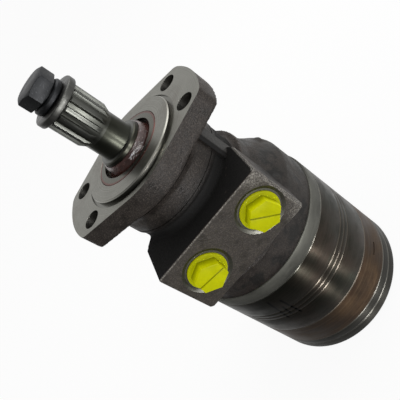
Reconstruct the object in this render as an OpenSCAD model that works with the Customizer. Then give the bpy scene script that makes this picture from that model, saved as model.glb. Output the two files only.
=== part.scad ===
// Orbital hydraulic motor with a splined shaft and a four-bolt flange.
// Sizes are millimetres. The origin is the centre of the mounting face.
// The shaft points to +Z, the two ports face -Y, the flange is long in X.

/* [Mounting flange] */
// Pilot diameter
pilot_diameter = 82.55; // [81:0.05:84]
// Pilot height above the mounting face
pilot_height = 2.95; // [2:0.05:6]
// Flange length, end to end
flange_length = 133.6; // [132:0.1:136]
// Flange width at its waist
flange_waist = 95; // [93.5:0.5:100]
// Flange corner radius
flange_corner = 8; // [6:0.5:9]
// Flange thickness
flange_thickness = 16; // [13:0.5:19]
// Distance from the flange's end to the circle through its bolt holes
flange_hole_edge = 13.6; // [12.8:0.1:14.4]
// Distance from each bolt hole's centre to the flange's side edge
flange_side_edge = 10.7; // [10:0.1:11.5]
// Angle of each bolt hole from the X axis
flange_bolt_angle = 22.5; // [21:0.5:24]
// Bolt hole diameter
flange_hole_diameter = 13.5; // [11:0.25:14.25]

/* [Housing] */
// Distance from the mounting face to the housing's rear face
housing_length = 114.5; // [112:0.5:120]
// Neck diameter behind the flange
neck_diameter = 90.4; // [86:0.2:92]
// Distance from the mounting face to the port block's front
block_front = 45; // [42:0.5:47]
// Distance from the mounting face to the round shoulder
shoulder_depth = 56; // [54:0.5:58]
// Diameter of the round shoulder
shoulder_diameter = 99.2; // [97:0.2:102]
// Diameter of the round body near the rear face
body_diameter = 124.6; // [121:0.2:126]
// Distance from the shaft axis to the block's right side
block_right = 45.4; // [44.6:0.2:47]
// Distance from the shaft axis to the block's left side
block_left = 48.2; // [46:0.2:50]
// Distance from the shaft axis to the bend of the block's sides
block_bend = 26.5; // [22:0.5:30]
// Port block length along Z
block_length = 48.5; // [46:0.5:50]
// Distance from the shaft axis to the port face
port_face_distance = 61; // [60:0.25:63]
// Chamfer on the port block's right edge
block_chamfer = 2; // [1:0.1:3]
// Diameter of the bolt bosses on the flare
boss_diameter = 17.2; // [16:0.2:17.8]
// Distance from the mounting face to the bosses' noses
boss_front = 81; // [80:0.5:84]
// Width of the two cast ribs on the neck
rib_width = 12.4; // [10:0.2:14]
// Angle of each cast rib from the X axis
rib_angle = 30.5; // [27:0.5:34]

/* [Ports] */
// Distance between the port centres
port_spacing = 52.6; // [50:0.2:54]
// Distance from the mounting face to the port centres
port_depth_z = 69.2; // [68:0.2:71]
// Port bore diameter
port_diameter = 24.2; // [22:0.2:25]
// Depth of the port bore
port_bore_depth = 14; // [13:0.5:15]
// Spot face diameter
spot_face_diameter = 35.4; // [34:0.2:37]
// Spot face depth
spot_face_depth = 1.2; // [0.8:0.1:1.6]

/* [Stack behind the housing] */
// Barrel diameter
barrel_diameter = 127; // [126.8:0.1:129]
// Wear plate thickness
wear_plate_thickness = 11.6; // [10:0.2:13]
// Stator and rotor length
stator_length = 56.8; // [52:0.4:60]
// Manifold thickness
manifold_thickness = 26.8; // [24:0.4:30]
// Commutator ring thickness
commutator_ring_thickness = 8; // [7.5:0.25:10]
// End cover thickness
cover_thickness = 10.3; // [9:0.1:14]
// Chamfer on the cover's rear edge
cover_chamfer = 2.4; // [1:0.1:3]
// Depth of the three marking grooves on the stator
marking_groove_depth = 0.45; // [0.2:0.05:0.8]
// Distance from the stator's front face to its first marking groove
marking_groove_start = 24.3; // [20:0.1:28]
// Distance from one marking groove to the next
marking_groove_pitch = 4.55; // [3.5:0.05:5.5]
// Length of the short slot in the manifold's side
manifold_slot_length = 11.2; // [8:0.2:14]

/* [Stack bolts] */
// Number of bolts, one between each pair of rollers
stack_bolts = 7; // [7]
// Distance from the barrel's skin to the centre of each bolt
stack_bolt_edge = 11; // [10.6:0.1:11.5]
// Bolt shank diameter
stack_bolt_diameter = 9.5; // [8:0.1:9.6]
// Diameter of the cap screw's head
stack_bolt_head = 14.4; // [13:0.1:14.8]
// Height of the cap screw's head
stack_bolt_head_height = 6; // [5:0.25:6.25]
// Diameter of the counterbore round each head
counterbore_diameter = 15.4; // [15.4:0.1:16]
// Depth of the counterbore in the end cover
counterbore_depth = 6.4; // [6.4:0.1:7.4]
// Depth of the threaded holes in the housing
stack_thread_depth = 22; // [21:0.5:26]

/* [Rotor set] */
// Lobes on the rotor
rotor_lobes = 6; // [6]
// Distance between the rotor axis and the shaft axis
eccentricity = 3.2; // [2.8:0.05:3.3]
// Radius of the circle through the roller centres
roller_circle = 42; // [41.5:0.1:42.5]
// Roller diameter
roller_diameter = 17; // [16:0.2:17.4]
// Points along the rotor outline between two lobes
rotor_steps = 24; // [16:1:30]

/* [Output shaft] */
// Spline outer diameter
spline_diameter = 31.75; // [31:0.05:32.5]
// Spline root diameter
spline_root = 28; // [27.8:0.1:29]
// Number of spline teeth
spline_teeth = 14; // [13, 14, 15]
// Distance from the mounting face to the shaft's end
shaft_end = 56; // [52:0.5:60]
// Distance from the mounting face to the start of full teeth
spline_start = 33; // [31:0.5:35]
// Diameter of the plain part below the teeth
relief_diameter = 27.3; // [26:0.1:27.6]
// Diameter of the seal journal
journal_diameter = 35; // [34:0.1:36]
// Distance from the mounting face to the journal's front edge
journal_end = 10.6; // [8:0.1:14]
// Diameter of the bearing part inside the housing
bearing_diameter = 56; // [54:0.25:57]

/* [Shaft end hardware] */
// Washer diameter
washer_diameter = 36.4; // [34:0.2:40]
// Washer thickness
washer_thickness = 5.2; // [4:0.1:6]
// Lock washer diameter
lock_diameter = 25.6; // [24:0.2:27]
// Lock washer thickness
lock_thickness = 5.2; // [3:0.1:6]
// Width of the gap in the lock washer
lock_gap = 1.6; // [1:0.1:3]
// Bolt thread diameter
end_bolt_diameter = 16; // [12:0.5:17]
// Width of the bolt head across its flats
end_bolt_head = 24; // [22:0.2:25]
// Height of the bolt head's hexagon
end_bolt_head_height = 10.1; // [8:0.1:12]
// Length of the bolt under its head
end_bolt_length = 42; // [36:1:48]

/* [Seals and bearings] */
// Diameter of the seal carrier's edge in the pilot face
carrier_diameter = 58; // [56:0.2:60]
// Diameter of the open recess round the shaft
recess_diameter = 47; // [45:0.2:49]
// Depth of the recess below the pilot face
recess_depth = 4.5; // [3:0.1:5.5]
// Depth of the seal carrier below the mounting face
carrier_depth = 9; // [8:0.25:10]
// Height of the dust seal's lip above the mounting face
dust_lip = 7.4; // [6:0.1:8.4]
// Thickness of the shaft seal
shaft_seal_thickness = 6.5; // [5.5:0.25:7]
// Wall thickness of the two bushings
bushing_wall = 3; // [2.5:0.1:3.5]
// Length of each bushing
bushing_length = 20; // [18:0.5:21]
// Diameter of the thrust needles
needle_diameter = 2.5; // [2:0.1:3]
// Number of thrust needles
needles = 24; // [18, 20, 22, 24]

/* [Drive link] */
// Outer diameter of the link's crowned teeth
link_diameter = 29; // [28:0.1:29.2]
// Number of teeth on each link spline
link_teeth = 12; // [10, 12]
// Depth from the mounting face to the shaft's inner spline centre
inner_spline_depth = 70; // [69:0.25:72]
// Length of each crowned spline head
link_head_length = 22; // [20:0.5:24]
// Diameter of the plain part between the heads
link_neck = 21; // [19:0.2:22]

/* [Port plugs] */
// Diameter of the plug's flange
plug_flange_diameter = 27.8; // [27:0.1:30]
// Thickness of the plug's flange
plug_flange_thickness = 1.7; // [1.2:0.1:3]
// Width of the plug's hexagon across its flats
plug_hex = 20.4; // [18:0.2:22]
// Height of the plug's hexagon
plug_hex_height = 7.6; // [6:0.1:10]
// Length of the plug's threaded part
plug_length = 11; // [9:0.25:12]

/* [Clearances] */
// Radial clearance of a running fit
running_clearance = 0.06; // [0.02:0.01:0.1]
// Clearance between rotor and rollers
rolling_clearance = 0.16; // [0.12:0.01:0.2]
// Axial clearance at each end of a sealed moving piece
face_clearance = 0.05; // [0.03:0.01:0.1]
// Radial clearance round each stack bolt
bolt_clearance = 0.45; // [0.3:0.05:0.6]
// Clearance of a seated piece that does not move
seat_clearance = 0.02; // [0.01:0.01:0.05]

/* [Hidden] */
$fn = 96;

cast_brown = [0.27, 0.24, 0.22];
dark_steel = [0.25, 0.25, 0.23];
light_steel = [0.62, 0.63, 0.6];
bronze = [0.62, 0.46, 0.26];
black_oxide = [0.1, 0.1, 0.11];
rubber_red = [0.36, 0.16, 0.13];
rubber_black = [0.07, 0.07, 0.07];
plug_yellow = [0.8, 0.82, 0.02];
copper_brown = [0.42, 0.31, 0.24];

// Stations along Z, all negative behind the mounting face.
z_rear = -housing_length;
z_plate = z_rear - wear_plate_thickness;
z_stator = z_plate - stator_length;
z_manifold = z_stator - manifold_thickness;
z_ring = z_manifold - commutator_ring_thickness;
z_cover = z_ring - cover_thickness;
barrel_r = barrel_diameter / 2;
body_r = body_diameter / 2;
neck_r = neck_diameter / 2;
stack_bolt_r = barrel_r - stack_bolt_edge;
flange_hole_r = flange_length / 2 - flange_hole_edge;
block_end = -block_front - block_length;

// Rotor set.
rollers = rotor_lobes + 1;
roller_r = roller_diameter / 2;
pocket_r = roller_r + running_clearance;
lobe_reach = roller_circle + eccentricity - roller_r - rolling_clearance;
stator_bore_r = lobe_reach + eccentricity + 0.5;
roller_pitch = 360 / rollers;
first_roller = 90;
first_bolt = first_roller + roller_pitch / 2;
bolt_hole_r = stack_bolt_diameter / 2 + bolt_clearance;

// The drive link's axis runs from the shaft's spline centre to the rotor's.
rotor_mid = (z_plate + z_stator) / 2;
link_run = -inner_spline_depth - rotor_mid;
link_tilt = atan(eccentricity / link_run);
link_span = link_run / cos(link_tilt);
commutator_mid = (z_manifold + z_ring) / 2;
commutator_offset = eccentricity * (-inner_spline_depth - commutator_mid) / link_run;
nose_span = (-inner_spline_depth - commutator_mid) / cos(link_tilt);
nose_r = 9.2;
tail_r = 8;
link_r = link_diameter / 2;
link_root_r = link_r - 2.1;
link_bore_r = link_r + 0.5;
link_bore_tip_r = link_root_r + 0.6;
clear_bore_r = link_bore_r + 0.6;

// Shaft and bearings inside the housing.
journal_r = journal_diameter / 2;
relief_r = relief_diameter / 2;
bearing_r = bearing_diameter / 2;
bore_r = bearing_r + running_clearance + bushing_wall;
seal_r = carrier_diameter / 2 - 2.9;
seal_back = -carrier_depth - shaft_seal_thickness;
backup_back = seal_back - 2;
race_back = backup_back - 2.5;
needle_back = race_back - needle_diameter - 0.04;
shaft_back = z_rear + 2.6;
bushing_front = needle_back - 6;
bushing_rear = shaft_back + 2;
washer_front = shaft_end + washer_thickness;
lock_front = washer_front + lock_thickness;
washer_face = 1.2;
lock_edge = 1.3;
head_base = lock_front + washer_face;

// Outline of the casting between the flange and the rear face.
neck_front = -flange_thickness - 5;
neck_ridge = -36;
neck_step = 1.4;
flange_root_r = flange_waist / 2 - 0.6;
flare_start = -66.4;
flare_low = [53.5, -75];
flare_mid = [57.5, -81.5];
flare_wide = [60.6, -86];
flare_end = -89;
block_root_angle = 24;
boss_back = 98;
boss_nose = 1.6;
milled_from = -30;
rib_reach = 1.3;
rib_root = 5;
relief_groove = [2.4, 0.8];

// Oil passages in the housing.
right_passage_x = 20;
right_passage_r = 5;
left_passage_r = 3.2;
annulus_depth = 11;

// Bores of the stacked sections.
plate_bore_r = 16;
manifold_bore_r = 15.4;
timing_circle = stack_bolt_r - 19;
timing_r = 3;
ring_bore_r = stack_bolt_r - bolt_hole_r - 2.1;
commutator_r = ring_bore_r - 0.4 - commutator_offset;
valve_groove = [commutator_r - 19.4, commutator_r - 9.4, 2.5];
face_groove = [commutator_r - 17.4, commutator_r - 12.4, 2.2];
cover_recess = [17, 4];
dish = [18, 1.5];
slot_angle = -40;
slot_height = 1.2;
slot_depth = 1;
slot_behind = 14;

// Cap screws: socket width across its flats, socket depth and edge chamfer.
socket_width = 8;
socket_depth = 3.4;
head_edge = 0.7;

// Port plugs: wall of the hollow thread, and width and depth of the slot.
plug_wall = 2.4;
plug_slot = [0.8, 0.7];
plug_turn_right = 18;
plug_turn_left = -22;

// Grooves for the five flat seal rings near the barrel's skin.
groove_in = barrel_r - 4.9;
groove_out = barrel_r - 2.3;
groove_depth = 1.5;

function arc(cx, cy, r, a0, a1, n) =
    [for (i = [0 : n - 1]) let (a = a0 + (a1 - a0) * i / n) [cx + r * cos(a), cy + r * sin(a)]];

// Flange outline: two end arcs, four corner arcs and two waist arcs.
end_r = flange_length / 2;
waist_r = flange_waist / 2;
side_normal = flange_bolt_angle + acos((waist_r - flange_side_edge) / flange_hole_r);
corner_reach = end_r - flange_corner;
corner_off = waist_r - flange_corner;
corner_turn = acos(corner_off / corner_reach);
corner_angle = side_normal - corner_turn;
corner_x = corner_reach * cos(corner_angle);
corner_y = corner_reach * sin(corner_angle);
flange_points = concat(
    arc(0, 0, end_r, -corner_angle, corner_angle, 14),
    arc(corner_x, corner_y, flange_corner, corner_angle, side_normal, 8),
    arc(0, 0, waist_r, side_normal, 180 - side_normal, 14),
    arc(-corner_x, corner_y, flange_corner, 180 - side_normal, 180 - corner_angle, 8),
    arc(0, 0, end_r, 180 - corner_angle, 180 + corner_angle, 14),
    arc(-corner_x, -corner_y, flange_corner, 180 + corner_angle, 180 + side_normal, 8),
    arc(0, 0, waist_r, 180 + side_normal, 360 - side_normal, 14),
    arc(corner_x, -corner_y, flange_corner, 360 - side_normal, 360 - corner_angle, 8));

// Port block seen along the shaft. Its sides bend in towards the neck.
block_root = neck_r * [cos(block_root_angle), sin(block_root_angle)];
block_points = [[-block_root[0], -block_root[1]], [-block_left, -block_bend],
    [-block_left, -port_face_distance], [block_right - block_chamfer, -port_face_distance],
    [block_right, block_chamfer - port_face_distance], [block_right, -block_bend],
    [block_root[0], -block_root[1]]];

// Path of a roller centre seen from the rotor, and its direction.
function path(t) = let (w = rollers * (t - first_roller))
    [roller_circle * cos(t) - eccentricity * cos(w), roller_circle * sin(t) - eccentricity * sin(w)];
function heading(t) = let (w = rollers * (t - first_roller), k = eccentricity * rollers)
    [k * sin(w) - roller_circle * sin(t), roller_circle * cos(t) - k * cos(w)];
function rotor_point(t) = let (p = path(t), h = heading(t), s = norm(h), d = roller_r + rolling_clearance)
    [p[0] - d * h[1] / s, p[1] + d * h[0] / s];
rotor_count = rotor_lobes * rotor_steps;
rotor_points = [for (i = [0 : rotor_count - 1]) rotor_point(first_roller + 360 * i / rotor_count)];

// A spline outline: root and tip radii, tooth half angles at root and tip.
function spline_points(teeth, root, tip, root_half, tip_half) =
    [for (i = [0 : teeth - 1], k = [0 : 4]) let (a = 360 * i / teeth,
        side = [-root_half, -tip_half, 0, tip_half, root_half][k],
        r = [root, tip, tip, tip, root][k]) [r * cos(a + side), r * sin(a + side)]];

// A plain ring from z0 up to z1.
module ring(outer, inner, z0, z1) {
    translate([0, 0, z0])
        difference() {
            cylinder(r = outer, h = z1 - z0);
            translate([0, 0, -1])
                cylinder(r = inner, h = z1 - z0 + 2);
        }
}

// A body of revolution from [radius, z] points.
module turned(points) {
    rotate_extrude()
        polygon(points);
}

// Bolt-circle positions of the stack.
module at_bolts(r = stack_bolt_r) {
    for (i = [0 : stack_bolts - 1])
        rotate(first_bolt + i * roller_pitch)
            translate([r, 0, 0])
                children();
}

module bolt_holes(z0, z1) {
    at_bolts()
        translate([0, 0, z0 - 1])
            cylinder(r = bolt_hole_r, h = z1 - z0 + 2, $fn = 32);
}

module at_ports() {
    for (side = [-1, 1])
        translate([side * port_spacing / 2, -port_face_distance, -port_depth_z])
            rotate([-90, 0, 0])
                children();
}

module housing() {
    flare = [[0, -shoulder_depth], [neck_r - neck_step, -shoulder_depth],
        [shoulder_diameter / 2, flare_start], flare_low, flare_mid, flare_wide, [body_r, flare_end],
        [body_r, z_rear], [0, z_rear]];
    carrier_r = carrier_diameter / 2;
    hole_x = flange_hole_r * cos(flange_bolt_angle);
    hole_y = flange_hole_r * sin(flange_bolt_angle);
    color(cast_brown)
        difference() {
            union() {
                cylinder(r = pilot_diameter / 2, h = pilot_height);
                translate([0, 0, -flange_thickness])
                    linear_extrude(height = flange_thickness)
                        polygon(flange_points);
                turned([[0, -shoulder_depth - 1], [neck_r - neck_step, -shoulder_depth - 1],
                    [neck_r - neck_step, neck_ridge - 1.5], [neck_r, neck_ridge], [neck_r, neck_front],
                    [flange_root_r, -flange_thickness - 1], [flange_root_r, -flange_thickness + 1],
                    [0, -flange_thickness + 1]]);
                turned(flare);
                // The round shoulder stands out on the right side only.
                intersection() {
                    translate([0, 0, flare_start])
                        cylinder(d = shoulder_diameter, h = -shoulder_depth - flare_start);
                    translate([0, -shoulder_diameter, flare_start - 1])
                        cube([shoulder_diameter, 2 * shoulder_diameter, -flare_start]);
                }
                translate([0, 0, block_end])
                    linear_extrude(height = block_length)
                        polygon(block_points);
                // Bosses round the stack bolts where the flare is narrower.
                at_bolts()
                    turned([[0, -boss_back], [boss_diameter / 2, -boss_back],
                        [boss_diameter / 2, -boss_front - boss_nose],
                        [boss_diameter / 2 - boss_nose, -boss_front], [0, -boss_front]]);
                // Cast ribs on the neck's right side.
                for (side = [-1, 1])
                    rotate(side * rib_angle)
                        translate([neck_r - rib_root, -rib_width / 2, -shoulder_depth - 1])
                            cube([rib_root + rib_reach, rib_width, shoulder_depth - flange_thickness + 2]);
            }
            // The port face is milled flat over the whole block.
            translate([-block_left, -port_face_distance - 20, block_end])
                cube([block_left + block_right, 20, milled_from - block_end]);
            // Relief groove round the pilot.
            ring(pilot_diameter / 2 + relief_groove[0], pilot_diameter / 2, -relief_groove[1], 1);
            // Flange bolt holes.
            for (x = [-1, 1], y = [-1, 1])
                translate([x * hole_x, y * hole_y, -flange_thickness - 5])
                    cylinder(d = flange_hole_diameter, h = flange_thickness + 10, $fn = 48);
            // Stepped bore from front to rear.
            turned([[0, pilot_height + 1], [carrier_r + 0.25, pilot_height + 1],
                [carrier_r + 0.25, pilot_height - 0.3], [carrier_r, pilot_height - 0.6],
                [carrier_r, -carrier_depth], [seal_r, -carrier_depth], [seal_r, backup_back],
                [bore_r, backup_back], [bore_r, z_rear - 1], [0, z_rear - 1]]);
            // Port bores with their spot faces.
            at_ports() {
                translate([0, 0, -1])
                    cylinder(d = spot_face_diameter, h = spot_face_depth + 1, $fn = 64);
                cylinder(d = port_diameter, h = port_bore_depth, $fn = 64);
            }
            // Passage from the right port to the shaft cavity.
            translate([right_passage_x, -port_face_distance + port_bore_depth - 2, -port_depth_z])
                rotate([-90, 0, 0])
                    cylinder(r = right_passage_r, h = port_face_distance - port_bore_depth - 18, $fn = 32);
            // Slanted passage from the left port to a stack bolt hole.
            slant_from = [-port_spacing / 2, -port_face_distance + port_bore_depth - 3, -port_depth_z];
            slant_to = [stack_bolt_r * cos(first_bolt + 2 * roller_pitch),
                stack_bolt_r * sin(first_bolt + 2 * roller_pitch), z_rear + 7];
            slant = slant_to - slant_from;
            translate(slant_from)
                rotate([0, acos(slant[2] / norm(slant)), atan2(slant[1], slant[0])])
                    cylinder(r = left_passage_r, h = norm(slant), $fn = 32);
            // Bolt holes: wide oil annulus first, thread behind it.
            at_bolts()
                translate([0, 0, z_rear - 1])
                    cylinder(r = bolt_hole_r, h = annulus_depth + 1, $fn = 32);
            at_bolts()
                translate([0, 0, z_rear])
                    cylinder(r = stack_bolt_diameter / 2 + seat_clearance, h = stack_thread_depth, $fn = 32);
        }
}

module seal_carrier() {
    color(cast_brown)
        turned([[recess_diameter / 2, pilot_height], [carrier_diameter / 2 - 0.3, pilot_height],
            [carrier_diameter / 2 - seat_clearance, pilot_height - 0.35],
            [carrier_diameter / 2 - seat_clearance, -carrier_depth + seat_clearance],
            [journal_r + 3, -carrier_depth + seat_clearance], [journal_r + 3, -carrier_depth + 2],
            [recess_diameter / 2 + 1.5, -carrier_depth + 2],
            [recess_diameter / 2 + 1.5, pilot_height - recess_depth],
            [recess_diameter / 2, pilot_height - recess_depth]]);
}

module dust_seal() {
    top = pilot_height - recess_depth;
    low = -carrier_depth + 2;
    bore = journal_r + running_clearance;
    rim = recess_diameter / 2;
    color(rubber_red)
        turned([[bore, dust_lip - 1.4], [bore + 0.3, dust_lip], [bore + 1, dust_lip],
            [bore + 1.8, dust_lip - 1.4], [bore + 2.6, dust_lip - 4.2], [bore + 4, top + 0.5],
            [rim - 0.2, top - 0.2], [rim + 1.48, top - 0.2], [rim + 1.48, low + seat_clearance],
            [journal_r + 3.2, low + seat_clearance], [journal_r + 2.4, low + 2.4],
            [bore + 0.5, low + 4], [bore, top + 3]]);
}

module shaft_seal() {
    color(rubber_black)
        turned([[journal_r + running_clearance, -carrier_depth - 2.6], [journal_r + 1, -carrier_depth - 0.8],
            [journal_r + 3.4, -carrier_depth - 0.4], [seal_r - seat_clearance, -carrier_depth - 0.05],
            [seal_r - seat_clearance, seal_back + seat_clearance],
            [journal_r + 1.2, seal_back + seat_clearance], [journal_r + 1.2, seal_back + 2],
            [journal_r + running_clearance, seal_back + 2.6]]);
}

module seal_backup_ring() {
    color(light_steel)
        ring(seal_r - seat_clearance, journal_r + 0.1, backup_back + seat_clearance, seal_back);
}

module thrust_race() {
    color(light_steel)
        ring(bore_r - 0.1, journal_r + 0.3, race_back, backup_back);
}

module thrust_cage() {
    middle = race_back - needle_diameter / 2 - 0.02;
    color(bronze)
        difference() {
            ring(bore_r - 0.6, journal_r + 0.35, middle - 0.7, middle + 0.7);
            for (i = [0 : needles - 1])
                rotate(i * 360 / needles)
                    translate([journal_r + 2.4, -needle_diameter / 2 - 0.1, middle - 2])
                        cube([8.4, needle_diameter + 0.2, 4]);
        }
}

module thrust_needles() {
    middle = race_back - needle_diameter / 2 - 0.02;
    color(light_steel)
        for (i = [0 : needles - 1])
            rotate(i * 360 / needles)
                translate([journal_r + 2.6, 0, middle])
                    rotate([0, 90, 0])
                        cylinder(d = needle_diameter, h = 8, $fn = 24);
}

module outer_bushing() {
    color(bronze)
        ring(bore_r - seat_clearance, bearing_r + running_clearance,
            bushing_front - bushing_length, bushing_front);
}

module inner_bushing() {
    color(bronze)
        ring(bore_r - seat_clearance, bearing_r + running_clearance,
            bushing_rear, bushing_rear + bushing_length);
}

module rear_thrust_washer() {
    color(bronze)
        ring(bore_r - 0.2, 20, z_rear + seat_clearance, shaft_back - face_clearance);
}

module output_shaft() {
    teeth_low = spline_start - (spline_diameter - relief_diameter) * 1.2;
    inner_top = -inner_spline_depth + link_head_length / 2 + 2;
    color(light_steel)
        difference() {
            union() {
                intersection() {
                    translate([0, 0, teeth_low])
                        linear_extrude(height = shaft_end - teeth_low)
                            polygon(spline_points(spline_teeth, spline_root / 2, spline_diameter / 2,
                                7.6, 4.6));
                    turned([[0, teeth_low - 1], [relief_r, teeth_low - 1], [relief_r, teeth_low],
                        [spline_diameter / 2 + 0.1, spline_start],
                        [spline_diameter / 2 + 0.1, shaft_end - 1.4], [spline_diameter / 2 - 1, shaft_end],
                        [0, shaft_end]]);
                }
                turned([[0, spline_start], [relief_r, spline_start], [relief_r, journal_end],
                    [journal_r - 0.8, journal_end], [journal_r, journal_end - 0.8],
                    [journal_r, needle_back], [bearing_r - 0.8, needle_back], [bearing_r, needle_back - 0.8],
                    [bearing_r, shaft_back + 0.8], [bearing_r - 0.8, shaft_back], [0, shaft_back]]);
            }
            // Threaded hole for the end bolt, with its drill point.
            turned([[0, shaft_end + 1], [end_bolt_diameter / 2 + seat_clearance, shaft_end + 1],
                [end_bolt_diameter / 2 + seat_clearance, shaft_end - end_bolt_length + 6],
                [0, shaft_end - end_bolt_length + 1]]);
            // Inner spline for the drive link, with clear bores at both ends.
            translate([0, 0, shaft_back - 1])
                cylinder(r = clear_bore_r, h = -inner_spline_depth - link_head_length / 2 - shaft_back);
            translate([0, 0, shaft_back])
                linear_extrude(height = inner_top - shaft_back)
                    polygon(spline_points(link_teeth, link_bore_tip_r, link_bore_r, 11, 8.6));
            translate([0, 0, inner_top])
                cylinder(r = clear_bore_r, h = 4);
            // Cross drillings that carry oil to the shaft's cavity.
            for (a = [45, 135])
                rotate([0, 0, a])
                    translate([-bearing_r - 2, 0, shaft_back + bushing_length + 9])
                        rotate([0, 90, 0])
                            cylinder(r = 3.5, h = bearing_diameter + 4, $fn = 32);
        }
}

module shaft_bolt() {
    corner = end_bolt_head / 2 / cos(30);
    color(black_oxide) {
        intersection() {
            rotate(20)
                translate([0, 0, head_base])
                    cylinder(r = corner, h = end_bolt_head_height, $fn = 6);
            turned([[0, head_base], [corner - 0.4, head_base], [corner + 0.1, head_base + 0.5],
                [corner + 0.1, head_base + end_bolt_head_height - 1.3],
                [end_bolt_head / 2 - 0.4, head_base + end_bolt_head_height],
                [0, head_base + end_bolt_head_height]]);
        }
        turned([[0, head_base + 0.5], [end_bolt_head / 2 - 1.6, head_base + 0.5],
            [end_bolt_head / 2 - 1.6, lock_front], [end_bolt_diameter / 2, lock_front],
            [end_bolt_diameter / 2, lock_front - end_bolt_length + 8],
            [end_bolt_diameter / 2 - 1, lock_front - end_bolt_length + 7],
            [0, lock_front - end_bolt_length + 7]]);
    }
}

module lock_washer() {
    color(black_oxide)
        difference() {
            turned([[end_bolt_diameter / 2 + 0.3, washer_front], [lock_diameter / 2 - lock_edge, washer_front],
                [lock_diameter / 2, washer_front + lock_edge], [lock_diameter / 2, lock_front - lock_edge],
                [lock_diameter / 2 - lock_edge, lock_front], [end_bolt_diameter / 2 + 0.3, lock_front]]);
            rotate(75)
                translate([10, 0, washer_front + lock_thickness / 2])
                    rotate([35, 0, 0])
                        cube([12, lock_gap, lock_thickness * 3], center = true);
        }
}

module retaining_washer() {
    edge = 1;
    color(light_steel)
        turned([[end_bolt_diameter / 2 + 0.4, shaft_end], [washer_diameter / 2 - edge, shaft_end],
            [washer_diameter / 2 - edge * 0.3, shaft_end + edge * 0.3],
            [washer_diameter / 2, shaft_end + edge],
            [washer_diameter / 2, washer_front - edge],
            [washer_diameter / 2 - edge * 0.3, washer_front - edge * 0.3],
            [washer_diameter / 2 - edge, washer_front], [end_bolt_diameter / 2 + 0.4, washer_front]]);
}

// One crowned spline head centred on the origin.
module link_head() {
    half = link_head_length / 2;
    crown = 0.45;
    intersection() {
        translate([0, 0, -half])
            linear_extrude(height = link_head_length)
                polygon(spline_points(link_teeth, link_root_r, link_r, 8.2, 5.6));
        turned([[0, -half], [link_r - 1.6, -half], [link_r - crown, -half * 0.75], [link_r + 0.01, 0],
            [link_r - crown, half * 0.75], [link_r - 1.6, half], [0, half]]);
    }
}

module drive_link() {
    half = link_head_length / 2;
    color(dark_steel)
        translate([0, 0, -inner_spline_depth])
            rotate([0, -link_tilt, 0])
                mirror([0, 0, 1]) {
                    link_head();
                    translate([0, 0, link_span])
                        link_head();
                    turned([[0, -half - 1.5], [link_root_r - 2, -half - 1.5], [link_root_r - 1, -half - 0.5],
                        [link_root_r - 1, half + 1], [link_neck / 2, half + 4],
                        [link_neck / 2, link_span - half - 4], [link_root_r - 1, link_span - half - 1],
                        [link_root_r - 1, link_span + half + 1], [tail_r, link_span + half + 5],
                        [tail_r, nose_span - 5], [nose_r - 0.25, nose_span - 3], [nose_r, nose_span - 1],
                        [nose_r, nose_span + 1], [nose_r - 0.5, nose_span + 2.6], [0, nose_span + 2.6]]);
                }
}

module wear_plate() {
    color(light_steel)
        difference() {
            turned([[0, z_plate], [barrel_r - 0.5, z_plate], [barrel_r, z_plate + 0.5],
                [barrel_r, z_rear - 0.6], [barrel_r - 0.6, z_rear], [0, z_rear]]);
            translate([0, 0, z_plate - 1])
                cylinder(r = plate_bore_r, h = wear_plate_thickness + 2);
            bolt_holes(z_plate, z_rear);
            ring(groove_out, groove_in, z_rear - groove_depth, z_rear + 1);
            ring(groove_out, groove_in, z_plate - 1, z_plate + groove_depth);
        }
}

module stator() {
    mark = marking_groove_depth;
    color(dark_steel)
        difference() {
            turned([[stator_bore_r, z_stator], [barrel_r - 0.4, z_stator], [barrel_r, z_stator + 0.4],
                [barrel_r, z_plate - 0.4], [barrel_r - 0.4, z_plate], [stator_bore_r, z_plate]]);
            for (i = [0 : rollers - 1])
                rotate(first_roller + i * roller_pitch)
                    translate([roller_circle, 0, z_stator - 1])
                        cylinder(r = pocket_r, h = stator_length + 2, $fn = 64);
            bolt_holes(z_stator, z_plate);
            ring(groove_out, groove_in, z_stator - 1, z_stator + groove_depth);
            for (i = [0 : 2])
                translate([0, 0, z_plate - marking_groove_start - marking_groove_pitch * i])
                    turned([[barrel_r - mark, 0], [barrel_r + 1, mark + 1], [barrel_r + 1, -mark - 1]]);
        }
}

module rotor() {
    spline_half = link_head_length / 2 + 1;
    color(light_steel)
        translate([eccentricity, 0, 0])
            difference() {
                translate([0, 0, z_stator + face_clearance])
                    linear_extrude(height = stator_length - 2 * face_clearance)
                        polygon(rotor_points);
                translate([0, 0, z_stator - 1])
                    linear_extrude(height = stator_length + 2)
                        polygon(spline_points(link_teeth, link_bore_tip_r, link_bore_r, 11, 8.6));
                translate([0, 0, rotor_mid + spline_half])
                    cylinder(r = clear_bore_r, h = stator_length);
                translate([0, 0, rotor_mid - spline_half - stator_length])
                    cylinder(r = clear_bore_r, h = stator_length);
            }
}

module roller(index) {
    low = z_stator + face_clearance;
    high = z_plate - face_clearance;
    color(light_steel)
        rotate(first_roller + (index - 1) * roller_pitch)
            translate([roller_circle, 0, 0])
                turned([[0, low], [roller_r - 0.4, low], [roller_r, low + 0.4], [roller_r, high - 0.4],
                    [roller_r - 0.4, high], [0, high]]);
}

module roller_1() { roller(1); }
module roller_2() { roller(2); }
module roller_3() { roller(3); }
module roller_4() { roller(4); }
module roller_5() { roller(5); }
module roller_6() { roller(6); }
module roller_7() { roller(7); }

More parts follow.
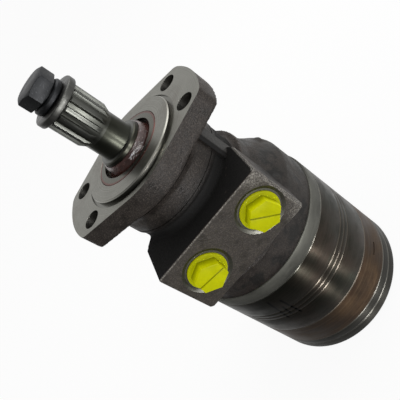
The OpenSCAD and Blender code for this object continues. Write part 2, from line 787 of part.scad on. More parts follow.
module manifold() {
    color(copper_brown)
        difference() {
            turned([[manifold_bore_r, z_manifold], [barrel_r - 0.4, z_manifold], [barrel_r, z_manifold + 0.4],
                [barrel_r, z_stator - 0.4], [barrel_r - 0.4, z_stator], [manifold_bore_r, z_stator]]);
            bolt_holes(z_manifold, z_stator);
            // Short slot in the side, open outwards.
            rotate(slot_angle)
                translate([barrel_r - slot_depth, -manifold_slot_length / 2, z_stator - slot_behind])
                    cube([slot_depth + 2, manifold_slot_length, slot_height]);
            // Timing passages between the rollers.
            for (i = [0 : rollers - 1])
                rotate(first_bolt + i * roller_pitch)
                    translate([timing_circle, 0, z_manifold - 1])
                        cylinder(r = timing_r, h = manifold_thickness + 2, $fn = 32);
        }
}

module commutator_ring() {
    color(dark_steel)
        difference() {
            turned([[ring_bore_r, z_ring], [barrel_r - 0.4, z_ring], [barrel_r, z_ring + 0.4],
                [barrel_r, z_manifold - 0.4], [barrel_r - 0.4, z_manifold], [ring_bore_r, z_manifold]]);
            bolt_holes(z_ring, z_manifold);
            ring(groove_out, groove_in, z_manifold - groove_depth, z_manifold + 1);
        }
}

module commutator() {
    low = z_ring + face_clearance;
    high = z_manifold - face_clearance;
    color(light_steel)
        translate([commutator_offset, 0, 0])
            turned([[nose_r + 0.4, low], [face_groove[0], low], [face_groove[0], low + face_groove[2]],
                [face_groove[1], low + face_groove[2]], [face_groove[1], low], [commutator_r, low],
                [commutator_r, high], [valve_groove[1], high], [valve_groove[1], high - valve_groove[2]],
                [valve_groove[0], high - valve_groove[2]], [valve_groove[0], high], [nose_r + 0.4, high]]);
}

module commutator_seal() {
    color(bronze)
        translate([commutator_offset, 0, 0])
            ring(face_groove[1] - 0.1, face_groove[0] + 0.1, z_ring + face_clearance,
                z_ring + face_clearance + face_groove[2] - 0.05);
}

module end_cover() {
    color(dark_steel)
        difference() {
            turned([[0, z_cover + dish[1]], [dish[0], z_cover + dish[1]], [dish[0] + dish[1], z_cover],
                [barrel_r - cover_chamfer, z_cover], [barrel_r, z_cover + cover_chamfer],
                [barrel_r, z_ring - 0.5], [barrel_r - 0.5, z_ring], [0, z_ring]]);
            bolt_holes(z_cover, z_ring);
            at_bolts()
                translate([0, 0, z_cover - 1])
                    cylinder(d = counterbore_diameter, h = counterbore_depth + 1, $fn = 48);
            ring(groove_out, groove_in, z_ring - groove_depth, z_ring + 1);
            translate([0, 0, z_ring - cover_recess[1]])
                cylinder(r = cover_recess[0], h = cover_recess[1] + 1);
        }
}

module cover_bolts() {
    seat = z_cover + counterbore_depth;
    length = z_rear + stack_thread_depth - 2 - seat;
    head = stack_bolt_head_height;
    head_r = stack_bolt_head / 2;
    color(black_oxide)
        at_bolts()
            translate([0, 0, seat]) {
                difference() {
                    turned([[0, -head], [head_r - head_edge, -head], [head_r, -head + head_edge],
                        [head_r, 0], [0, 0]]);
                    translate([0, 0, -head - 1])
                        cylinder(d = socket_width / cos(30), h = socket_depth + 1, $fn = 6);
                }
                cylinder(d = stack_bolt_diameter, h = length, $fn = 32);
            }
}

module seal_ring_at(z) {
    color(rubber_black)
        ring(groove_out - 0.05, groove_in + 0.05, z, z + groove_depth - 0.05);
}

module seal_ring_1() { seal_ring_at(z_rear - groove_depth + 0.02); }
module seal_ring_2() { seal_ring_at(z_plate + 0.02); }
module seal_ring_3() { seal_ring_at(z_stator + 0.02); }
module seal_ring_4() { seal_ring_at(z_manifold - groove_depth + 0.02); }
module seal_ring_5() { seal_ring_at(z_ring - groove_depth + 0.02); }

// One threaded port plug with its flange on z = 0 and its head below.
module plug(turn) {
    corner = plug_hex / 2 / cos(30);
    color(plug_yellow)
        difference() {
            union() {
                translate([0, 0, -plug_flange_thickness])
                    cylinder(d = plug_flange_diameter, h = plug_flange_thickness, $fn = 64);
                translate([0, 0, -plug_flange_thickness - plug_hex_height])
                    rotate(turn)
                        cylinder(r = corner, h = plug_hex_height + 0.5, $fn = 6);
                translate([0, 0, -0.5])
                    cylinder(r = port_diameter / 2 - 0.1, h = plug_length + 0.5, $fn = 64);
            }
            translate([0, 0, 1])
                cylinder(r = port_diameter / 2 - plug_wall, h = plug_length, $fn = 48);
            rotate(turn + 30)
                translate([-corner, -plug_slot[0] / 2, -plug_flange_thickness - plug_hex_height - 1])
                    cube([2 * corner, plug_slot[0], plug_slot[1] + 1]);
        }
}

module port_plug_right() {
    translate([port_spacing / 2, -port_face_distance + spot_face_depth, -port_depth_z])
        rotate([-90, 0, 0])
            plug(plug_turn_right);
}

module port_plug_left() {
    translate([-port_spacing / 2, -port_face_distance + spot_face_depth, -port_depth_z])
        rotate([-90, 0, 0])
            plug(plug_turn_left);
}

housing();
seal_carrier();
dust_seal();
shaft_seal();
seal_backup_ring();
thrust_race();
thrust_cage();
thrust_needles();
outer_bushing();
inner_bushing();
rear_thrust_washer();
output_shaft();
shaft_bolt();
lock_washer();
retaining_washer();
drive_link();
wear_plate();
stator();
rotor();
roller_1();
roller_2();
roller_3();
roller_4();
roller_5();
roller_6();
roller_7();
manifold();
commutator_ring();
commutator();
commutator_seal();
end_cover();
cover_bolts();
seal_ring_1();
seal_ring_2();
seal_ring_3();
seal_ring_4();
seal_ring_5();
port_plug_right();
port_plug_left();
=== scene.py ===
# %% [markdown]
# # An orbital hydraulic motor
# The motor has a splined shaft, a four-bolt flange, a sand-cast housing with two plugged ports, and a
# round stack of steel sections behind it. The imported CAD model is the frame: it says where every piece
# is and how it moves. This lesson gives each piece its surface, and rebuilds the pieces whose soft
# cast or moulded form a plain solid can't show.

# %% Load the frame
import math

import bmesh
import bpy
import numpy as np
from mathutils import Matrix, Vector


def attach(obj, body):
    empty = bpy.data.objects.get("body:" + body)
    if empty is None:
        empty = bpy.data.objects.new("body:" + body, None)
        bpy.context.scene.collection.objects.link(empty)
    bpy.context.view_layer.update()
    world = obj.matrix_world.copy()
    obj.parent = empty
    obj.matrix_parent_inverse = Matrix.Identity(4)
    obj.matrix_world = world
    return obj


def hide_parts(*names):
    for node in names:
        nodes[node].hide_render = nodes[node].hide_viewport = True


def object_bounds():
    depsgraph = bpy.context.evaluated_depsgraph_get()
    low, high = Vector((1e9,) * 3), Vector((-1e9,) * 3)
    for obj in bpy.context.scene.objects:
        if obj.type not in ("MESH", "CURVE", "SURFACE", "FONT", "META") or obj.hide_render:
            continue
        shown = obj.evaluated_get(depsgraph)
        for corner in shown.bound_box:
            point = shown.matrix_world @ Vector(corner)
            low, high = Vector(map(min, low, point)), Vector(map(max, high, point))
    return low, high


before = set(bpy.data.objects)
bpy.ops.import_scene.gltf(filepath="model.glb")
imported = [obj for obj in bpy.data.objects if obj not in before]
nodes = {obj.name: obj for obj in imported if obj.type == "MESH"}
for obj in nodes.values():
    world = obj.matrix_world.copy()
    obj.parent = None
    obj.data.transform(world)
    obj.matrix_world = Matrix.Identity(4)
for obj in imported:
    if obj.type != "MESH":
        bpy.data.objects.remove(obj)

MM = 0.001
cad_box = [list(corner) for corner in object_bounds()]
print("CAD box in metres:", cad_box)

# %% [markdown]
# ## The camera
# The photograph was taken from about 35 cm, slightly above the port face, with the shaft pointing up
# and to the left. The numbers come from a pinhole camera fitted to the flange, the ports and the stack.
# A small lens shift stands for a picture that was cropped off its centre.

# %% Camera
camera_data = bpy.data.cameras.new("photo_camera")
camera_data.sensor_width = 36
camera_data.lens = 45.2585
camera_data.shift_x = 0.05
camera_data.shift_y = -0.025
camera_data.clip_start = 0.01
camera = bpy.data.objects.new("photo_camera", camera_data)
camera.location = (0.069866, -0.307436, 0.132503)
camera.rotation_euler = [math.radians(a) for a in (42.748506, 47.056124, -24.676805)]
bpy.context.scene.collection.objects.link(camera)
bpy.context.scene.camera = camera
bpy.context.scene.view_settings.view_transform = "Standard"
bpy.context.view_layer.update()
camera_turn = camera.matrix_world.to_3x3()
print("Camera looks along", [round(v, 3) for v in camera_turn @ Vector((0, 0, -1))])

# %% [markdown]
# ## Small helpers for materials
# A material is a tree of nodes. One helper adds a node, sets it and links it, so that each material
# below reads as a short list. Colours are written as on a paint card, in sRGB hex, and turned to the
# linear values that Blender works in.


# %% Node helpers and colour helper
def fill(tree, node, inputs):
    """Fills a node's inputs: a socket is linked, and a number or colour is set on the input itself."""
    for name, value in inputs.items():
        if isinstance(value, bpy.types.NodeSocket):
            tree.links.new(value, node.inputs[name])
        else:
            node.inputs[name].default_value = value


def add(tree, kind, inputs=None, **settings):
    """Adds one node with its settings and its inputs."""
    made = tree.nodes.new(kind)
    for name, value in settings.items():
        setattr(made, name, value)
    fill(tree, made, inputs or {})
    return made


def colour(hex_code):
    """An sRGB hex colour as linear RGBA."""
    parts = [int(hex_code[i:i + 2], 16) / 255 for i in (1, 3, 5)]
    linear = [p / 12.92 if p <= 0.04045 else ((p + 0.055) / 1.055) ** 2.4 for p in parts]
    return (*linear, 1.0)


def new_material(name):
    """An empty material with one Principled shader, returned as (material, tree, shader)."""
    made = bpy.data.materials.new(name)
    made.use_nodes = True
    tree = made.node_tree
    tree.nodes.clear()
    shader = add(tree, "ShaderNodeBsdfPrincipled")
    out = add(tree, "ShaderNodeOutputMaterial")
    tree.links.new(shader.outputs["BSDF"], out.inputs["Surface"])
    return made, tree, shader


# %% Colour, arithmetic and bump in a tree
def ramp(tree, value, stops):
    """A colour ramp through [(position, hex or grey number), ...]."""
    made = add(tree, "ShaderNodeValToRGB", {"Fac": value})
    elements = made.color_ramp.elements
    while len(elements) < len(stops):
        elements.new(0.5)
    for element, (position, shade) in zip(elements, stops):
        element.position = position
        element.color = colour(shade) if isinstance(shade, str) else (shade, shade, shade, 1)
    return made.outputs["Color"]


def mix_colour(tree, factor, low, high):
    """Mixes two colours, each a socket or a hex code."""
    low, high = [colour(c) if isinstance(c, str) else c for c in (low, high)]
    made = add(tree, "ShaderNodeMix", {0: factor, 6: low, 7: high}, data_type="RGBA")
    return made.outputs[2]


def calc(tree, operation, first, second=0.0, clamp=False):
    """One step of arithmetic on two numbers or sockets."""
    made = add(tree, "ShaderNodeMath", {0: first, 1: second}, operation=operation, use_clamp=clamp)
    return made.outputs[0]


def bump(tree, height, depth_mm, strength, over=None):
    """A bump of the given depth in millimetres, laid over another normal if there is one."""
    inputs = {"Height": height, "Distance": depth_mm * MM, "Strength": strength}
    if over is not None:
        inputs["Normal"] = over
    return add(tree, "ShaderNodeBump", inputs).outputs["Normal"]


# %% Patterns measured in millimetres
BARREL_R = 63.5 * MM


def noise(tree, vector, per_mm, detail, rough, stretch=(1, 1, 1)):
    """Noise with so many features to a millimetre, stretched by a factor along each axis."""
    scale = [s * per_mm * 1000 for s in stretch]
    scaled = add(tree, "ShaderNodeMapping", {"Vector": vector, "Scale": scale})
    made = add(tree, "ShaderNodeTexNoise",
               {"Vector": scaled.outputs[0], "Scale": 1.0, "Detail": detail, "Roughness": rough})
    return made.outputs["Fac"]


def round_the_axis(tree):
    """The place on the unrolled barrel, the radius and the height, all in metres, round the shaft axis."""
    place = add(tree, "ShaderNodeTexCoord").outputs["Object"]
    split = add(tree, "ShaderNodeSeparateXYZ", {0: place})
    flat = add(tree, "ShaderNodeVectorMath", {0: place, 1: (1, 1, 0)}, operation="MULTIPLY")
    radius = add(tree, "ShaderNodeVectorMath", {0: flat.outputs[0]}, operation="LENGTH").outputs["Value"]
    angle = calc(tree, "ARCTAN2", split.outputs["Y"], split.outputs["X"])
    arc = calc(tree, "MULTIPLY", angle, BARREL_R)
    unrolled = add(tree, "ShaderNodeCombineXYZ", {0: arc, 1: split.outputs["Z"], 2: radius})
    return unrolled.outputs[0], radius, split.outputs["Z"]


def turned_lines(tree, radius, height, per_mm, detail=3.0):
    """Fine lines that a lathe tool leaves: noise in radius and height only."""
    along = calc(tree, "MULTIPLY", calc(tree, "ADD", radius, height), per_mm * 1000)
    return add(tree, "ShaderNodeTexNoise", {"W": along, "Scale": 1.0, "Detail": detail},
               noise_dimensions="1D").outputs["Fac"]


def band(tree, value, middle, half, soft):
    """1 where a value is within half of the middle, falling to 0 over soft."""
    off = calc(tree, "ABSOLUTE", calc(tree, "SUBTRACT", value, middle))
    return calc(tree, "DIVIDE", calc(tree, "SUBTRACT", half + soft, off), soft, clamp=True)


print("Helpers are ready; the barrel's radius is", BARREL_R)

# %% [markdown]
# ## Light, floor and background
# A parts photograph is taken in a white light tent that is open low on the photographer's side. The
# camera sees white all round. Metal mirrors the white walls, and on the open side the dark room, which
# is what gives a polished barrel its dark middle between bright edges. The walls also light the part
# softly from all round. One large lamp above the picture lights the flange and the top of the stack, so
# that a colour that faces it renders about as it is written. Two narrow upright lamps draw the long
# bright streaks that a turned barrel shows, and a third one, higher up, brightens the corners near the
# port block. These three show in reflections alone and add no diffuse light.

# %% World
DARK_SHARE = 0.85
SOFT_LIGHT = 0.56

picture_up = camera_turn @ Vector((0, 1, 0))
picture_left = camera_turn @ Vector((-1, 0, 0))
towards_viewer = camera_turn @ Vector((0, 0, 1))
open_side = (towards_viewer * 0.55 - picture_up * 0.83).normalized()
world = bpy.data.worlds.new("light_tent")
bpy.context.scene.world = world
world.use_nodes = True
sky = world.node_tree
sky.nodes.clear()
toward = add(sky, "ShaderNodeTexCoord").outputs["Generated"]
facing = add(sky, "ShaderNodeVectorMath", {0: toward, 1: open_side}, operation="DOT_PRODUCT")
room = add(sky, "ShaderNodeMapRange", {"Value": facing.outputs["Value"], "From Min": 0.05, "From Max": 0.55},
           interpolation_type="SMOOTHSTEP")
bright = calc(sky, "SUBTRACT", 1.0, calc(sky, "MULTIPLY", room.outputs["Result"], DARK_SHARE))
rays = add(sky, "ShaderNodeLightPath")
mirrored = calc(sky, "MULTIPLY", rays.outputs["Is Glossy Ray"], bright)
seen = calc(sky, "ADD", rays.outputs["Is Camera Ray"], mirrored, clamp=True)
seen = calc(sky, "ADD", seen, rays.outputs["Is Transmission Ray"], clamp=True)
lit = calc(sky, "MULTIPLY", rays.outputs["Is Diffuse Ray"], SOFT_LIGHT)
strength = calc(sky, "MAXIMUM", seen, lit)
tent = add(sky, "ShaderNodeBackground", {"Color": (1, 1, 1, 1), "Strength": strength})
add(sky, "ShaderNodeOutputWorld", {"Surface": tent.outputs[0]})
print("Tent opens towards", [round(v, 2) for v in open_side])

# %% Lamps
LAMP_AIM = Vector((0, 0, -0.09))


def softbox(name, toward, distance, size, power, mirrored_only=False):
    """A rectangular lamp that faces the middle of the motor."""
    data = bpy.data.lights.new(name, "AREA")
    data.shape = "RECTANGLE"
    data.size, data.size_y = size
    data.energy = power
    lamp = bpy.data.objects.new(name, data)
    direction = Vector(toward).normalized()
    lamp.location = LAMP_AIM + direction * distance
    lamp.rotation_euler = direction.to_track_quat("Z", "Y").to_euler()
    lamp.visible_camera = False
    lamp.visible_diffuse = not mirrored_only
    bpy.context.scene.collection.objects.link(lamp)


def beside(degrees, height=0.0):
    """A direction at an angle round the shaft axis, with a share of height."""
    turn = math.radians(degrees)
    return (math.cos(turn), math.sin(turn), height)


softbox("key_lamp", picture_up * 0.9 + picture_left * 0.25 + towards_viewer * 0.15, 0.9, (0.7, 0.5), 3.6)
softbox("streak_lamp_right", beside(-61.0), 0.75, (0.05, 0.26), 4.2, mirrored_only=True)
softbox("streak_lamp_left", beside(-87.5), 0.75, (0.05, 0.26), 4.9, mirrored_only=True)
softbox("corner_lamp", beside(-48, 0.58), 0.9, (0.05, 0.2), 2.5, mirrored_only=True)

# %% [markdown]
# ### The floor
# The floor is a sheet of white paper that ends in front of the motor, where the dark room begins. To
# the camera and to metal it is nearly white by itself, and the rest of it is plain paper that takes the
# motor's shadow. Metal sees it darken past its front edge, as it sees the tent darken there.

# %% Floor
PAPER_GLOW = 0.93
FLOOR_REACH = 40.0

floor_z = cad_box[0][2]
corners = [(-1, -1), (1, -1), (1, 1), (-1, 1)]
floor_mesh = bpy.data.meshes.new("pale_floor")
floor_mesh.from_pydata([(x * FLOOR_REACH, y * FLOOR_REACH, floor_z) for x, y in corners], [], [(0, 1, 2, 3)])
floor = bpy.data.objects.new("pale_floor", floor_mesh)
bpy.context.scene.collection.objects.link(floor)
paper, tree, shader = new_material("white_paper_sweep")
tree.nodes.remove(shader)
diffuse = add(tree, "ShaderNodeBsdfDiffuse", {"Color": colour("#f4f4f2")})
rays = add(tree, "ShaderNodeLightPath")
place = add(tree, "ShaderNodeNewGeometry").outputs["Position"]
table_edge = Vector((open_side.x, open_side.y, 0)).normalized()
forward = add(tree, "ShaderNodeVectorMath", {0: place, 1: table_edge}, operation="DOT_PRODUCT")
past_edge = add(tree, "ShaderNodeMapRange",
                {"Value": forward.outputs["Value"], "From Min": 0.04, "From Max": 0.12},
                interpolation_type="SMOOTHSTEP")
darker = calc(tree, "MULTIPLY", past_edge.outputs["Result"], DARK_SHARE)
darker = calc(tree, "MULTIPLY", darker, rays.outputs["Is Glossy Ray"])
glow_strength = calc(tree, "SUBTRACT", 1.0, darker)
glow = add(tree, "ShaderNodeEmission", {"Color": (1, 1, 1, 1), "Strength": glow_strength})
direct = calc(tree, "ADD", rays.outputs["Is Camera Ray"], rays.outputs["Is Glossy Ray"], clamp=True)
share = calc(tree, "MULTIPLY", direct, PAPER_GLOW)
sheet = add(tree, "ShaderNodeMixShader", {0: share, 1: diffuse.outputs[0], 2: glow.outputs[0]})
tree.links.new(sheet.outputs[0], tree.nodes["Material Output"].inputs["Surface"])
floor_mesh.materials.append(paper)
print("Floor at z =", round(floor_z, 4))

# %% [markdown]
# ## Sizes of the casting
# The casting's sizes come first, because its surface also needs them: oil, wear, painted shade and a
# painted sheen lie where the block, the ports and the rib are. They are the sizes of the CAD model, in
# millimetres, with the shaft along Z, the pilot's foot at 0 and the ports towards -Y.

# %% Sizes of the casting, in millimetres
FLANGE_END, FLANGE_WAIST, FLANGE_BACK, FLANGE_CORNER = 66.8, 47.5, -16.0, 8.0
SIDE_SLOPE = math.radians(21.27)
NECK_R, COLLAR_R, BORE_R = 43.8, 45.2, 31.06
BLOCK_FRONT, BLOCK_END, REAR = -45.0, -93.5, -114.5
BLOCK_LEFT, BLOCK_RIGHT, BLOCK_BEND, PORT_FACE = -48.2, 45.4, -26.5, -61.0
ROUND_SHOULDER, SHOULDER_R, FLARE_START, REAR_R = -56.0, 49.6, -66.4, 62.3
RIB_TURN, RIB_HALF, RIB_TOP, RIB_END = math.radians(30.5), 6.2, 46.5, -57.0
PORT_X, PORT_Z, PORT_R, SPOT_R, SPOT_DEPTH = 26.3, -69.2, 12.1, 17.7, 1.2
PILOT_R, PILOT_TOP, PILOT_GROOVE_R, CHAMFER_R, CHAMFER_START = 41.275, 2.95, 43.7, 40.45, 2.15
CARRIER_R = 29.0
HOLE_X, HOLE_Y, HOLE_R = 49.15, 20.36, 6.75
BOLT_CIRCLE, FIRST_BOLT, STACK_BOLTS = 52.5, 90 + 180 / 7, 7
print("Port face to shaft axis:", -PORT_FACE, "mm")

# %% [markdown]
# ## Cast iron
# The housing is grey cast iron from a sand mould. Its skin is a dull brown-grey with a fine grain from
# the sand, and a little uneven in colour. The grain is about 0.4 mm, drawn as 0.7 mm so that it shows.
# Oil, wear and painted light are laid over it by place, because they follow the shape and not chance: a
# film and drips on the round rear part, painted shade in the corner behind the flange and on the rib's
# lower half, a painted sheen on the rib's top, and bright edges where the block has been knocked. Where
# the mesh knows the place better, it carries an attribute that says so.

# %% Cast iron skin
cast_iron, tree, shader = new_material("sand_cast_iron")
place = add(tree, "ShaderNodeTexCoord").outputs["Object"]
split = add(tree, "ShaderNodeSeparateXYZ", {0: place})
along_x, along_y, along_z = [split.outputs[axis] for axis in "XYZ"]
grain = noise(tree, place, 1.4, 3.0, 0.65)
cloud = noise(tree, place, 0.05, 3.0, 0.6)
oil = noise(tree, place, 0.11, 2.0, 0.5)
skin = mix_colour(tree, cloud, "#26211e", "#39322d")
skin = mix_colour(tree, ramp(tree, grain, [(0.5, 0.0), (0.68, 0.7)]), skin, "#6a6058")
skin = mix_colour(tree, ramp(tree, oil, [(0.52, 0.0), (0.72, 0.6)]), skin, "#191613")

# %% Oil film and drips on the round rear part
off_face = calc(tree, "GREATER_THAN", along_y, (PORT_FACE + 0.4) * MM)
off_face = calc(tree, "MAXIMUM", off_face, calc(tree, "LESS_THAN", along_z, BLOCK_END * MM))
film = calc(tree, "MULTIPLY", calc(tree, "LESS_THAN", along_z, (ROUND_SHOULDER - 2) * MM), off_face)
right_side = add(tree, "ShaderNodeMapRange", {"Value": along_x, "From Min": 0.01, "From Max": 0.05})
film_tint = mix_colour(tree, right_side.outputs[0], "#2c2420", "#262624")
film_share = calc(tree, "MULTIPLY", film, ramp(tree, cloud, [(0.3, 0.8), (0.6, 0.35)]))
skin = mix_colour(tree, film_share, skin, film_tint)
drips = noise(tree, place, 0.07, 3.0, 0.65)
drip_share = calc(tree, "MULTIPLY", film, ramp(tree, drips, [(0.52, 0.0), (0.6, 0.75)]))
skin = mix_colour(tree, drip_share, skin, "#141412")

# %% Painted shade behind the flange and on the rib's lower half, and a painted sheen on the rib's top
rib_sheen = add(tree, "ShaderNodeAttribute", attribute_name="rib_sheen").outputs["Fac"]
side_step = calc(tree, "MULTIPLY", calc(tree, "ABSOLUTE", along_y), math.cos(RIB_TURN))
across_rib = calc(tree, "SUBTRACT", calc(tree, "MULTIPLY", along_x, math.sin(RIB_TURN)), side_step)
# The rib's lower half takes painted shade instead of the sheen.
shaded_rib_half = add(tree, "ShaderNodeMapRange", {"Value": across_rib, "From Min": -0.5 * MM, "From Max": -2 * MM})
shaded_rib_half = calc(tree, "MULTIPLY", shaded_rib_half.outputs[0], rib_sheen)
rib_sheen = calc(tree, "SUBTRACT", rib_sheen, shaded_rib_half)
painted_shade = add(tree, "ShaderNodeAttribute", attribute_name="painted_flange_shade").outputs["Fac"]
painted_shade = calc(tree, "MAXIMUM", painted_shade, shaded_rib_half)
# Painted shade: the corner behind the flange and the rib's lower half are blackened.
skin = mix_colour(tree, calc(tree, "MULTIPLY", painted_shade, 0.95), skin, "#080807")
# Painted sheen: the rib's top is lightened as a lit face.
skin = mix_colour(tree, calc(tree, "MULTIPLY", rib_sheen, 0.7), skin, "#4a4a49")

# %% Bright worn edges
KNOCKED_CORNER = Vector((43, -61, -47)) * MM

on_port_face = calc(tree, "LESS_THAN", along_y, (PORT_FACE + 0.4) * MM)
on_block = calc(tree, "GREATER_THAN", along_z, (BLOCK_END - 0.1) * MM)
on_port_face = calc(tree, "MULTIPLY", on_port_face, on_block)
lip = calc(tree, "MULTIPLY", band(tree, along_z, (BLOCK_FRONT - 0.2) * MM, 0.4 * MM, 0.6 * MM), 0.8)
from_corner = add(tree, "ShaderNodeVectorMath", {0: place, 1: KNOCKED_CORNER}, operation="DISTANCE")
knocks = add(tree, "ShaderNodeMapRange",
             {"Value": from_corner.outputs["Value"], "From Min": 13 * MM, "From Max": 2 * MM})
face_wear = calc(tree, "MAXIMUM", lip, calc(tree, "MULTIPLY", knocks.outputs[0], 0.8))
wear = add(tree, "ShaderNodeAttribute", attribute_name="edge_wear").outputs["Fac"]
wear = calc(tree, "MAXIMUM", wear, calc(tree, "MULTIPLY", face_wear, on_port_face))
worn = calc(tree, "MULTIPLY", wear, ramp(tree, grain, [(0.44, 0.1), (0.6, 1.0)]), clamp=True)
skin = mix_colour(tree, calc(tree, "MULTIPLY", on_port_face, 0.12), skin, "#8d857b")
skin = mix_colour(tree, worn, skin, "#b3aea6")

# %% Relief and gloss of cast iron
relief = bump(tree, noise(tree, place, 0.45, 2.0, 0.5), 0.5, 0.5)
relief = bump(tree, grain, 0.25, 0.7, relief)
dull = ramp(tree, oil, [(0.4, 0.58), (0.75, 0.38)])
dull = calc(tree, "MAXIMUM", dull, calc(tree, "MULTIPLY", painted_shade, 0.85))
fill(tree, shader, {"Base Color": skin, "Normal": relief, "Roughness": dull, "Metallic": 0.1,
                    "Specular IOR Level": 0.2})
print(cast_iron.name, "has", len(tree.nodes), "nodes")

# %% [markdown]
# ## Machined iron
# The mounting face, the pilot and the port spot faces are turned or milled from the same iron, so they
# are bare metal: a greenish grey with fine rings from the tool, and brown smudges from handling. The
# rings are 0.2 mm apart on the part and are drawn 0.5 mm apart so that they show as a faint sheen. The
# pilot's side and its groove are polished by fitting and darkened as painted shade, its chamfer is
# lightened as a painted highlight, and the spot faces round the plugs are darker, partly with oil and
# partly as painted shade.

# %% Machined iron
machined_iron, tree, shader = new_material("machined_grey_iron")
_, radius, height = round_the_axis(tree)
place = add(tree, "ShaderNodeTexCoord").outputs["Object"]
rings = turned_lines(tree, radius, height, 2.0, 2.0)
cloud = noise(tree, place, 0.06, 3.0, 0.6)
flecks = noise(tree, place, 1.1, 2.0, 0.6)
smudge = noise(tree, place, 0.035, 4.0, 0.7)
metal = mix_colour(tree, cloud, "#5f5f58", "#7a7972")
metal = mix_colour(tree, ramp(tree, smudge, [(0.5, 0.0), (0.68, 0.5)]), metal, "#4f4840")
metal = mix_colour(tree, ramp(tree, flecks, [(0.55, 0.0), (0.75, 0.5)]), metal, "#524f49")
metal = mix_colour(tree, ramp(tree, rings, [(0.4, 0.0), (0.75, 0.35)]), metal, "#9a9992")
past_rim = calc(tree, "GREATER_THAN", radius, (CHAMFER_R + 0.2) * MM)
turned_edge = calc(tree, "MULTIPLY", past_rim, calc(tree, "LESS_THAN", radius, (PILOT_GROOVE_R + 0.1) * MM))
on_chamfer = calc(tree, "GREATER_THAN", height, (CHAMFER_START - 0.05) * MM)
chamfer_glint = calc(tree, "MULTIPLY", turned_edge, on_chamfer)
groove_shade = calc(tree, "SUBTRACT", turned_edge, chamfer_glint)
# Painted shade in the pilot's side and groove, and a painted highlight on its chamfer.
metal = mix_colour(tree, calc(tree, "MULTIPLY", groove_shade, 0.35), metal, "#3c3b37")
metal = mix_colour(tree, calc(tree, "MULTIPLY", chamfer_glint, 0.3), metal, "#a8a7a0")
# The spot faces round the plugs are darkened, partly for oil and partly as painted shade.
spot_face_oil_shade = add(tree, "ShaderNodeSeparateXYZ", {0: place}).outputs["Y"]
spot_face_oil_shade = calc(tree, "LESS_THAN", spot_face_oil_shade, (PORT_FACE + 3) * MM)
metal = mix_colour(tree, calc(tree, "MULTIPLY", spot_face_oil_shade, 0.65), metal, "#33322e")
dull = ramp(tree, flecks, [(0.3, 0.3), (0.7, 0.42)])
dull = calc(tree, "MULTIPLY", dull, calc(tree, "SUBTRACT", 1.0, turned_edge))
dull = calc(tree, "ADD", dull, calc(tree, "MULTIPLY", turned_edge, 0.3))
dull = calc(tree, "ADD", dull, calc(tree, "MULTIPLY", spot_face_oil_shade, 0.08))
fill(tree, shader, {"Base Color": metal, "Normal": bump(tree, rings, 0.02, 0.4), "Roughness": dull,
                    "Metallic": 1.0})
print(machined_iron.name, "has", len(tree.nodes), "nodes")

# %% Oily turned iron
# The seal carrier and the port bores: turned like the pilot, but wet with oil, so darker and glossier.
# A reddish line of sealant shows round the carrier.
oily_iron, tree, shader = new_material("oily_turned_iron")
_, radius, height = round_the_axis(tree)
place = add(tree, "ShaderNodeTexCoord").outputs["Object"]
lines = turned_lines(tree, radius, height, 1.0)
cloud = noise(tree, place, 0.08, 3.0, 0.6)
metal = mix_colour(tree, cloud, "#3d3d35", "#57564c")
sealant = band(tree, radius, (CARRIER_R - 0.4) * MM, 0.6 * MM, 1.0 * MM)
metal = mix_colour(tree, sealant, metal, "#523029")
fill(tree, shader, {"Base Color": metal, "Normal": bump(tree, lines, 0.02, 0.4), "Metallic": 1.0,
                    "Roughness": ramp(tree, cloud, [(0.3, 0.2), (0.7, 0.34)])})
print(oily_iron.name, "has", len(tree.nodes), "nodes")

# %% Drilled holes
# A drill leaves a coarse spiral and the hole keeps some oil, so it is grey with darker bands.
drilled_iron, tree, shader = new_material("oily_drilled_iron")
place = add(tree, "ShaderNodeTexCoord").outputs["Object"]
spiral = noise(tree, place, 0.5, 2.0, 0.5, (0.3, 0.3, 2.0))
fill(tree, shader, {"Base Color": mix_colour(tree, spiral, "#4a4946", "#72706b"),
                    "Normal": bump(tree, spiral, 0.05, 0.5), "Metallic": 1.0, "Roughness": 0.4})
print(drilled_iron.name, "has", len(tree.nodes), "nodes")

# %% [markdown]
# ## The housing casting
# A foundry rams sand round a pattern, so every inside corner of a casting is filled and every outside
# corner is round. Then a lathe faces the flange and bores the middle, and a mill cuts the port face and
# its spot faces, which leaves those edges sharp. The mesh is made the same way: the solid forms are
# joined, remeshed and smoothed into one casting, and then sharp cutters take the machined faces away.
# The bolt threads inside the rear face are left out, because the stack closes them in for good.

# %% Outline of the flange
def arc(cx, cy, r, start, end, steps):
    """Points of an arc in the XY plane, the last one left out."""
    turns = [start + (end - start) * i / steps for i in range(steps)]
    return [(cx + r * math.cos(t), cy + r * math.sin(t)) for t in turns]


def flange_outline():
    """The flange: two end arcs, two waist arcs and four corner arcs, joined by straight edges."""
    side = math.pi / 2 - SIDE_SLOPE
    reach = FLANGE_END - FLANGE_CORNER
    corner = side - math.acos((FLANGE_WAIST - FLANGE_CORNER) / reach)
    cx, cy = reach * math.cos(corner), reach * math.sin(corner)
    points = arc(0, 0, FLANGE_END, -corner, corner, 24) + arc(cx, cy, FLANGE_CORNER, corner, side, 12)
    points += arc(0, 0, FLANGE_WAIST, side, math.pi - side, 24)
    points += arc(-cx, cy, FLANGE_CORNER, math.pi - side, math.pi - corner, 12)
    return points + [(-x, -y) for x, y in points]


print("The flange's outline has", len(flange_outline()), "points")


